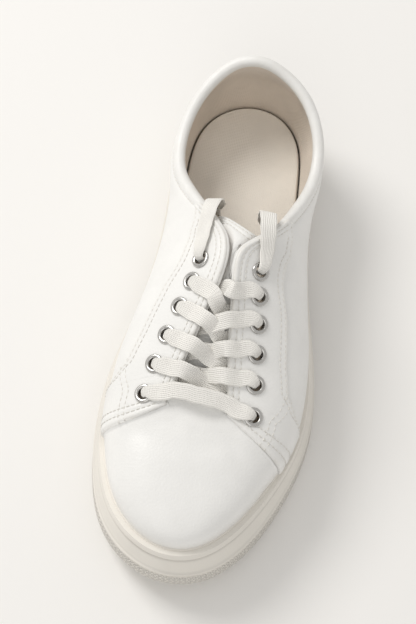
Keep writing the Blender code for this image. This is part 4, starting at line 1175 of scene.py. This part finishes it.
def tongue_section(share, reach):
    """Points across the tongue from inner to outer side, close under both facings."""
    below = -(leather_wall + tongue_room)
    inner = [near_throat(-1, share, d, below)[0] for d in np.linspace(reach, 0.0, 4)]
    outer = [near_throat(1, share, d, below)[0] for d in np.linspace(0.0, reach, 4)]
    bridge = np.linalg.norm(outer[0] - inner[-1])
    way_in = unit(inner[-1] - inner[-2]) * bridge * tongue_arch
    way_out = unit(outer[0] - outer[1]) * bridge * tongue_arch
    middle = []
    for t, weight in ((0.25, 0.8), (0.5, 1.0), (0.75, 0.8)):
        point = (inner[-1] * (1 - t) ** 3 + 3 * (inner[-1] + way_in) * t * (1 - t) ** 2
                 + 3 * (outer[0] + way_out) * t ** 2 * (1 - t) + outer[0] * t ** 3)
        point[2] -= tongue_dip * min(1.0, bridge / (2 * lace_width)) * weight
        middle.append(point)
    return np.array(inner + middle + outer)


def tongue_root(down):
    """Points of the tongue's sewn end, under the vamp along the bottom of the throat."""
    points = []
    for place in np.linspace(inner_front - 0.004, outer_front + 0.004, 11):
        points.append(on_wall(place, down, -(leather_wall + quarter_step + gap))[0][0])
    return np.array(points)


throat_length = np.linalg.norm(near_throat(1, 1.0, 0.0, 0.0)[0] - near_throat(1, 0.0, 0.0, 0.0)[0])
tongue_end = 1.0 + tongue_rise / throat_length
control = [tongue_root(tongue_seam), tongue_root(0.35 * tongue_seam)]
for share in np.linspace(0.10, tongue_end, 9):
    reach = tongue_reach * (0.35 + 0.65 * smoothstep(share, 0.0, 0.5))
    reach *= 1.0 - 0.5 * smoothstep(share, 0.9, tongue_end)
    control.append(tongue_section(share, reach))
face = refine(control, tongue_rows, tongue_columns)
free = face[tongue_sewn_rows:]
for _ in range(tongue_ease_across):
    free[:, 1:-1] += 0.25 * (free[:, 2:] + free[:, :-2] - 2 * free[:, 1:-1])
for line in free:
    run = run_along(line)
    even = np.linspace(0.0, run[-1], len(run))
    line[:] = np.column_stack([np.interp(even, run, line[:, k]) for k in range(3)])
for _ in range(tongue_ease_along):
    free[:-1] += 0.25 * (free[1:] + face[tongue_sewn_rows - 1:-2] - 2 * free[:-1])
normal = unit(np.cross(np.gradient(face, axis=1), np.gradient(face, axis=0)))
down_run = np.array([run_along(line) for line in face.transpose(1, 0, 2)]).T
across_run = np.array([run_along(line) for line in face])
from_top = down_run[-1][None, :] - down_run
from_side = np.minimum(across_run, across_run[:, -1:] - across_run)
border = np.minimum(from_top, from_side)
round_off = edge_round(border, tongue_thickness * 0.5)
top_seams = (0.0022, 0.0052)      # stitch rows below the tongue's top edge
relief = seam_dents(from_top, top_seams, 0.00035) + 0.0003 * bell(from_top, 0.0085, 0.003)
half = tongue_thickness / 2
outer_skin = face - normal * (half * (1.0 - round_off))[..., None] + normal * relief[..., None]
inner_skin = face - normal * (half * (1.0 + round_off))[..., None]
tongue = sheet_solid("tongue_leather", outer_skin, inner_skin, [white_leather])
mark_worn(tongue, np.concatenate([(0.35 * bell(from_top, 0.0, 0.001)).ravel(), np.zeros(border.size)]))
stand_for(tongue, "tongue", "tongue")


# Vamp tab. The vamp's white leather runs on, thin and unlined, under the bottom lace between the
# two facings. It is one cut with the vamp, so its lower border is feathered into it.
tab_share = 0.135
tab_thickness = 0.0012
tab_edge_radius = 0.0008
tab_lift = 0.00026        # how far it swells over the vamp
tab_sunk = 0.00006        # how deep its border starts
tab_overlap = 0.012
tab_columns = 71
places = np.linspace(inner_front + 0.003, outer_front - 0.003, tab_columns)
tab_runs = wall_runs(places)
control = []
for distance in np.linspace(tab_overlap, 0.0, 13):
    up = np.array([np.interp(distance, run, wall_levels) for run in tab_runs])
    face = upper_surface(places, up)
    lift = outer_relief(places, up, face, np.full(tab_columns, distance)) - tab_sunk \
        + tab_lift * smoothstep(tab_overlap - distance, 0.0, 0.008)
    control.append(face + upper_normal(places, up) * lift[:, None])
t = np.linspace(0.0, 1.0, tab_columns)[:, None]
for share in np.linspace(0.04, tab_share, 4):
    ends = [near_throat(side, share, 0.0012, -0.0004)[0] for side in (-1, 1)]
    ways = [ends[k] - near_throat(side, share, 0.0060, -0.0004)[0] for k, side in enumerate((-1, 1))]
    bridge = np.linalg.norm(ends[1] - ends[0])
    pull = [end + unit(way) * bridge * 0.3 for end, way in zip(ends, ways)]
    control.append(ends[0] * (1 - t) ** 3 + 3 * pull[0] * t * (1 - t) ** 2
                   + 3 * pull[1] * t ** 2 * (1 - t) + ends[1] * t ** 3)
control = np.array(control)
knots = np.mean([run_along(line) for line in control.transpose(1, 0, 2)], axis=0)
tab_face = natural_spline(knots, control.reshape(len(knots), -1), np.linspace(0.0, knots[-1], 100))
tab_face = tab_face.reshape(100, tab_columns, 3)
tab_normal = unit(np.cross(np.gradient(tab_face, axis=1), np.gradient(tab_face, axis=0)))
tab_run = np.array([run_along(line) for line in tab_face.transpose(1, 0, 2)]).T
thick = tab_thickness * (0.15 + 0.85 * edge_round(tab_run[-1][None, :] - tab_run, tab_edge_radius))[..., None]
tab = sheet_solid("vamp_tab", tab_face, tab_face - tab_normal * thick, [white_leather])
stand_for(tab, "upper")


# Seams. White thread in lockstitch, sunk a little into the leather: double rows along the edges
# of the facings and across the tongue's top, one row under the collar's roll.
thread, shader, place = new_finish("white_thread", (0.82, 0.80, 0.75), 0.7)
twist = (place.axis("X") + place.axis("Y") + place.axis("Z")) * (2 * pi / 0.0005)
feed(shader, Normal=twist.sine().bump(0.00004))

start, given = node_tree("lockstitch", ("Pitch", "NodeSocketFloat"),
                         ("Stitch Length", "NodeSocketFloat"), ("Thread Width", "NodeSocketFloat"),
                         ("Wander", "NodeSocketFloat"), ("Seed", "NodeSocketInt"),
                         ("Thread", "NodeSocketMaterial"))
line = start.node("GeometryNodeMeshToCurve", {0: given["Geometry"]})
line = start.node("GeometryNodeResampleCurve", {"Curve": line, "Length": given["Pitch"]}, mode="LENGTH")
bead = start.node("GeometryNodeMeshUVSphere", {"Segments": 8, "Rings": 6, "Radius": 0.5}, output="Mesh")
size = start.node("ShaderNodeCombineXYZ", {"X": given["Stitch Length"], "Y": given["Thread Width"],
                                           "Z": given["Thread Width"]})
bead = start.node("GeometryNodeTransform", {"Geometry": bead, "Scale": size})
tangent = start.node("GeometryNodeInputTangent", {})
facing_way = start.node("GeometryNodeInputNamedAttribute", {"Name": "facing"},
                        data_type="FLOAT_VECTOR")
stray = start.node("FunctionNodeRandomValue", {0: (-1.0, -1.0, -1.0), 1: (1.0, 1.0, 1.0),
                                               "Seed": given["Seed"]}, data_type="FLOAT_VECTOR")
stray = start.node("ShaderNodeVectorMath", {0: stray, "Scale": given["Wander"]}, operation="SCALE")
aim = start.node("ShaderNodeVectorMath", {0: tangent, 1: stray}, operation="ADD")
turn = start.node("FunctionNodeAlignRotationToVector", {"Vector": aim}, axis="X")
turn = start.node("FunctionNodeAlignRotationToVector", {"Rotation": turn, "Vector": facing_way},
                  axis="Z", pivot_axis="X")
stitches = start.node("GeometryNodeInstanceOnPoints", {"Points": line, "Instance": bead,
                                                       "Rotation": turn})
close_tree(stitches, given["Thread"])
stitch_tree = start.tree


def sew(name, seams, pitch=0.0027, seed=3):
    """Stitches along lines of (points, normals), as one piece."""
    points, edges, facing = [], [], []
    for line_points, normals in seams:
        first = len(points)
        points += list(line_points)
        facing += list(normals)
        edges += [(first + k, first + k + 1) for k in range(len(line_points) - 1)]
    piece = grow(name, stitch_tree, points, edges, facing, Pitch=pitch,
                 Stitch_Length=0.78 * pitch, Thread_Width=0.00055, Wander=0.06, Seed=seed,
                 Thread=thread)
    stand_for(piece, "upper")


cross_seams = (0.0, 0.0032)       # two rows over the front of a facing, from its lower corner
cross_seam_corner = 0.63          # share of the columns where the lower corner lies
cross_seam_foot = 0.52            # share of the front edge where the seams end


def facing_seams(facing):
    """The stitch rows of one facing: along throat and front, and along the lower edge."""
    lift = rest_on + facing_leather - 0.00004
    seams = []
    column = np.arange(facing_columns)
    for seam in edge_seams:
        last = np.interp(-seam, -facing.from_front, column)
        first = np.interp(1.2 * seam + 0.002, facing.from_back, column)
        spots = [(c, facing_edge + seam) for c in np.linspace(first, last, 160)]
        corner = 0.004
        spots = [(c, d) for c, d in spots if facing.from_front[int(c)] > seam + corner]
        foot = facing.width[int(last)] - 0.001
        bend = [(np.interp(-(seam + corner * (1 - np.sin(t))), -facing.from_front, column),
                 facing_edge + seam + corner * (1 - np.cos(t))) for t in np.linspace(0.1, pi / 2, 8)]
        spots += bend + [(last, d) for d in np.linspace(facing_edge + seam + corner, foot, 50)[1:]]
        placed = [facing.spot(c, d, lift) for c, d in spots]
        seams.append(([p for p, _ in placed], [n for _, n in placed]))
    for seam in lower_seams:
        kept = [c for c in column if facing.width[c] > 3.0 * seam + 0.002
                and not facing.at_foot[c]]
        placed = [facing.spot(c, facing.width[c] - seam, lift) for c in kept[::2]]
        seams.append(([p for p, _ in placed], [n for _, n in placed]))
    corner_column = int(cross_seam_corner * facing_columns)
    for step in cross_seams:
        begin = np.interp(-(facing.from_front[corner_column] + step), -facing.from_front, column)
        front = cross_seam_foot * facing.width[-1] - step
        spots = [(begin + (facing_columns - 1 - begin) * t,
                  facing.width[int(begin)] * (1 - t) + front * t - 0.0008) for t in
                 np.linspace(0.0, 0.985, 40)]
        placed = [facing.spot(c, d, lift) for c, d in spots]
        seams.append(([p for p, _ in placed], [n for _, n in placed]))
    return seams


sew("facing_outer_stitches", facing_seams(outer_facing), seed=5)
sew("facing_inner_stitches", facing_seams(inner_facing), seed=7)

collar_rows = np.linspace(33.0, 48.3, 260) % 41
collar_around = np.interp(np.interp(collar_rows, np.arange(42), np.append(top_places, 1.0)),
                          top_place_fine, around_fine)
collar_line = on_wall(collar_around, 0.0068, -0.00036)
tongue_rows = []
for seam in top_seams:
    row = np.argmin(np.abs(from_top[:, tongue_columns // 2] - seam))
    kept = [c for c in range(tongue_columns) if from_side[row, c] > 0.004]
    tongue_rows.append((outer_skin[row, kept] + normal[row, kept] * 0.00006, normal[row, kept]))
sew("collar_and_tongue_stitches", [collar_line] + tongue_rows, pitch=0.0025, seed=11)


# Lace. One flat cotton lace, 8 mm wide: a bar over the bottom of both facings, then strips that
# cross on the tongue, each coming from under one facing and going down through the next eyelet.
lace_thickness = 0.0012
lace_step = 0.0006        # between two rings of a ribbon
lace_ribs = 9
lace_pick_pitch = 0.0011
lace_waver = 0.00012      # how far its edges wander
lace_cup = 0.0011         # how far it curls where it is pinched
lace_white = (0.925, 0.905, 0.86)
cotton, shader, place = new_finish("lace_cotton", lace_white, 0.88)
run = place.node("ShaderNodeUVMap", {}, uv_map="pattern")
along, across = run.axis("X"), run.axis("Y")
rib = (across * (2 * pi * lace_ribs)).sine()
pick = (along * (2 * pi / lace_pick_pitch) + rib * 1.6).sine()
soil = place.noise(60.0, 4.0, 0.6).smooth(0.35, 0.75)
feed(shader, Base_Color=(soil * 0.7).blend(tint(lace_white, 1.04), tint(lace_white, 0.92)),
     Normal=(rib * 0.6 + pick * 0.16 + place.noise(2400.0) * 0.25).bump(0.0002))
shader.inputs["Sheen Weight"].default_value = 0.1


def ribbon(name, strips):
    """Flat laces as one piece. Each is a list of stations: a point of its middle line, the way
    its face looks there and its share of the full width."""
    all_points, all_faces, all_along, all_across = [], [], [], []
    angle = np.linspace(0.0, 2 * pi, 18, endpoint=False)
    flat_x = np.sign(np.cos(angle)) * np.abs(np.cos(angle)) ** 0.4
    flat_z = np.sign(np.sin(angle)) * np.abs(np.sin(angle)) ** 0.7
    centres = []
    for stations in strips:
        points = np.array([s[0] for s in stations])
        faces_way = np.array([s[1] for s in stations])
        shares = np.array([[s[2]] for s in stations])
        run = run_along(points)
        count = int(run[-1] / lace_step)
        fine = np.linspace(0.0, run[-1], count)
        middle = natural_spline(run, points, fine)
        way = natural_spline(run, faces_way, fine)
        share = np.clip(natural_spline(run, shares, fine), 0.3, 1.05)
        tangent = unit(np.gradient(middle, axis=0))
        aside = unit(np.cross(tangent, way))
        face = np.cross(aside, tangent)
        length = run_along(middle)
        thick = lace_thickness / 2 * (1.0 + 0.5 * (1.0 - share))
        waver = lace_waver * np.sin(length * 900.0)[:, None]
        cup = -lace_cup * (1.0 - share) * (flat_x[None, :] ** 2 - 0.4)
        out = lace_width / 2 * share * flat_x[None, :] + waver
        up = thick * flat_z[None, :] * (0.85 + 0.15 * flat_x[None, :] ** 2) + cup
        ring = middle[:, None] + aside[:, None] * out[..., None] + face[:, None] * up[..., None]
        first = len(all_points)
        all_points += list(ring.reshape(-1, 3))
        all_faces += grid_faces(count, len(angle), closed_columns=True, first=first)
        last = first + (count - 1) * len(angle)
        all_faces += [tuple(range(first + len(angle) - 1, first - 1, -1)),
                      tuple(range(last, last + len(angle)))]
        all_along += list(np.repeat(length, len(angle)))
        all_across += list(np.tile(flat_x / 2 + 0.5, count))
        centres.append(middle)
    piece = new_piece(name, all_points, all_faces, [cotton])
    lay_pattern(piece, all_across, all_along)
    return piece, centres


def seat_of(side, pair):
    """Point and normal of an eyelet's seat."""
    return eyelet_seats[pair if side < 0 else eyelet_pairs + pair]


def through(side, pair, depth, share, aside=0.0):
    """Station on an eyelet's axis, a depth above its face."""
    point, normal = seat_of(side, pair)
    return point + normal * depth, normal, share


def near(side, share, distance, lift, width):
    """Station by the throat's edge."""
    point, normal = near_throat(side, share, distance, lift)
    return point, normal, width


on_facing = gap + facing_leather + lace_thickness / 2 + 0.0002
under_facing = -(leather_wall + tongue_room / 2)


def throat_middle(share, offset, width=1.0):
    """Station over the middle of the tongue."""
    section = tongue_section(share, tongue_reach)
    beyond = tongue_section(share + 0.03, tongue_reach)
    middle = len(section) // 2
    way = unit(np.cross(section[middle + 1] - section[middle - 1], beyond[middle] - section[middle]))
    return section[middle] + way * offset, way, width


def crossing_strip(side, pair):
    """From under the other facing's lower eyelet, over the tongue, down its own eyelet."""
    begin, goal = eyelet_share(side, pair), eyelet_share(-side, pair - 1)
    pitch = begin - eyelet_share(side, pair - 1)
    point, normal = seat_of(-side, pair - 1)
    own_drop, far_rise, curl = (0.34, 0.30, 0.0) if side < 0 else (0.10, 0.42, 0.14)
    if pair == eyelet_pairs - 2:      # the top crossing lies flat over the closed throat
        own_drop, far_rise = (0.48, 0.20) if side < 0 else (0.05, 0.80)
    own_edge = near(side, begin - own_drop * pitch, -0.0018, on_facing + 0.0010, 1.0)
    far_edge = near(-side, goal + far_rise * pitch, -0.0040, -leather_wall, 1.0)
    wide = np.linalg.norm(own_edge[0] - far_edge[0])
    narrow = 1.0 - min(1.0, wide / (3 * lace_width))
    lift = 0.0010 + 1.3 * (leather_wall + tongue_room) * narrow + (0.0013 if side < 0 else 0.0)
    middle = 0.5 * (begin - (own_drop + 0.20) * pitch) + 0.5 * (goal + (far_rise + 0.14) * pitch)
    over_tongue = [throat_middle(middle, lift)] if wide > 1.3 * lace_width else []
    return [
        (point - normal * 0.0032, normal, 0.5),
        near(-side, goal + 0.4 * far_rise * pitch, 0.62 * eyelet_inset, under_facing, 0.85),
        near(-side, goal + 0.8 * far_rise * pitch, 0.15 * eyelet_inset, under_facing - 0.0003, 1.0),
        far_edge,
        *over_tongue,
        own_edge,
        near(side, begin - (0.55 * own_drop - 0.5 * curl) * pitch, 0.42 * eyelet_inset, on_facing, 1.0),
        near(side, begin - (0.22 * own_drop - curl) * pitch, 0.76 * eyelet_inset,
             on_facing + eyelet_flange, 0.88),
        through(side, pair, 0.0012, 0.55),
        through(side, pair, -0.0026, 0.42),
    ]


half = [[near(side, eyelet_share(side, 0) - shift, distance, on_facing + more, width)
         for shift, distance, more, width in ((0.0, 0.86 * eyelet_inset, eyelet_flange, 0.75),
                                              (0.02, 0.5 * eyelet_inset, 0.0002, 1.0),
                                              (0.03, 0.0, 0.0006, 1.0))] for side in (-1, 1)]
middle = ((half[0][-1][0] + half[1][-1][0]) / 2 + np.array([0.0, 0.0, 0.0022]),
          half[0][-1][1] + half[1][-1][1], 1.0)
ends = [[through(side, 0, -0.0026, 0.42), through(side, 0, 0.0010, 0.52)] for side in (-1, 1)]
bar, _ = ribbon("lace_bottom_bar", [ends[0] + half[0] + [middle] + half[1][::-1] + ends[1][::-1]])
stand_for(bar, "lace", "lace_bar")
for pair in range(1, eyelet_pairs - 1):
    strips = [crossing_strip(-1, pair), crossing_strip(1, pair)]
    crossing, _ = ribbon(f"lace_strips_{pair + 1}", strips)
    stand_for(crossing, "lace", f"lace_crossing_{pair + 1}")


# Lace ends. Each comes up through its top eyelet, runs over the top edge beside the tongue and
# hangs down inside the shoe, where a rolled plastic tip closes it.
lace_end_inner = [
    # point, facing
    ((-0.0120, 0.0100, 0.0830), (-0.60, 0.00, 0.80)),
    ((-0.0115, 0.0170, 0.0822), (-0.60, 0.05, 0.79)),
    ((-0.0111, 0.0240, 0.0812), (-0.58, 0.08, 0.80)),
    ((-0.0106, 0.0295, 0.0808), (-0.50, 0.12, 0.85)),
    ((-0.0099, 0.0345, 0.0802), (-0.38, 0.30, 0.87)),
    ((-0.0091, 0.0385, 0.0776), (-0.22, 0.66, 0.70)),
    ((-0.0083, 0.0410, 0.0735), (-0.08, 0.90, 0.42)),
    ((-0.0078, 0.0420, 0.0682), (0.00, 0.98, 0.15)),
    ((-0.0076, 0.0423, 0.0632), (0.00, 1.00, 0.05)),
]
lace_end_outer = [
    ((0.0202, 0.0076, 0.0848), (0.54, -0.15, 0.83)),
    ((0.0200, 0.0139, 0.0862), (0.50, -0.12, 0.86)),
    ((0.0195, 0.0200, 0.0880), (0.38, -0.10, 0.92)),
    ((0.0189, 0.0255, 0.0881), (0.25, 0.10, 0.96)),
    ((0.0183, 0.0303, 0.0858), (0.15, 0.50, 0.85)),
    ((0.0178, 0.0335, 0.0812), (0.06, 0.82, 0.57)),
    ((0.0174, 0.0352, 0.0755), (0.02, 0.95, 0.25)),
    ((0.0172, 0.0358, 0.0695), (0.00, 0.99, 0.08)),
    ((0.0171, 0.0360, 0.0632), (0.00, 1.00, 0.03)),
]
tip_length = 0.015
tip_width = 0.0038
tip_thickness = 0.0028
tip_plastic, shader, place = new_finish("tip_plastic", (0.84, 0.83, 0.79), 0.28)
feed(shader, Roughness=place.noise(300.0, 3.0) * 0.15 + 0.2)
for word, side, route in (("inner", -1, lace_end_inner), ("outer", 1, lace_end_outer)):
    widths = np.clip(0.88 + 0.12 * np.arange(len(route)), 0.0, 1.04)
    widths[-1] = 0.62
    stations = [through(side, 5, -0.0026, 0.42), through(side, 5, 0.0014, 0.55)]
    stations += [(np.array(p), np.array(n), w) for (p, n), w in zip(route, widths)]
    lace_end, centres = ribbon(f"lace_loose_{word}", [stations])
    end, before = centres[0][-1], centres[0][-4]
    way, face = unit(end - before), unit(stations[-1][1])
    aside = unit(np.cross(way, face))
    face = np.cross(aside, way)
    angle = np.linspace(0.0, 2 * pi, 20, endpoint=False)
    rings = [end + way * (rest_on + share * tip_length)
             + aside * np.cos(angle)[:, None] * tip_width / 2 * size
             + face * np.sin(angle)[:, None] * tip_thickness / 2 * size
             for share, size in ((0.0, 0.82), (0.02, 0.95), (0.06, 1.0), (0.5, 0.97), (0.92, 1.0),
                                 (0.98, 0.9), (1.0, 0.7))]
    faces = grid_faces(len(rings), 20, closed_columns=True)
    faces += [tuple(range(19, -1, -1)), tuple(range(120, 140))]
    tip = new_piece(f"lace_tip_{word}_rolled", np.vstack(rings), faces, [tip_plastic], sharp=1.0)
    stand_for(tip, "lace_tip", f"lace_tip_{word}")
    stand_for(lace_end, "lace", f"lace_end_{word}")
    [tuple(p) for p in centres[0][::4]] + [tuple(centres[0][-1])]
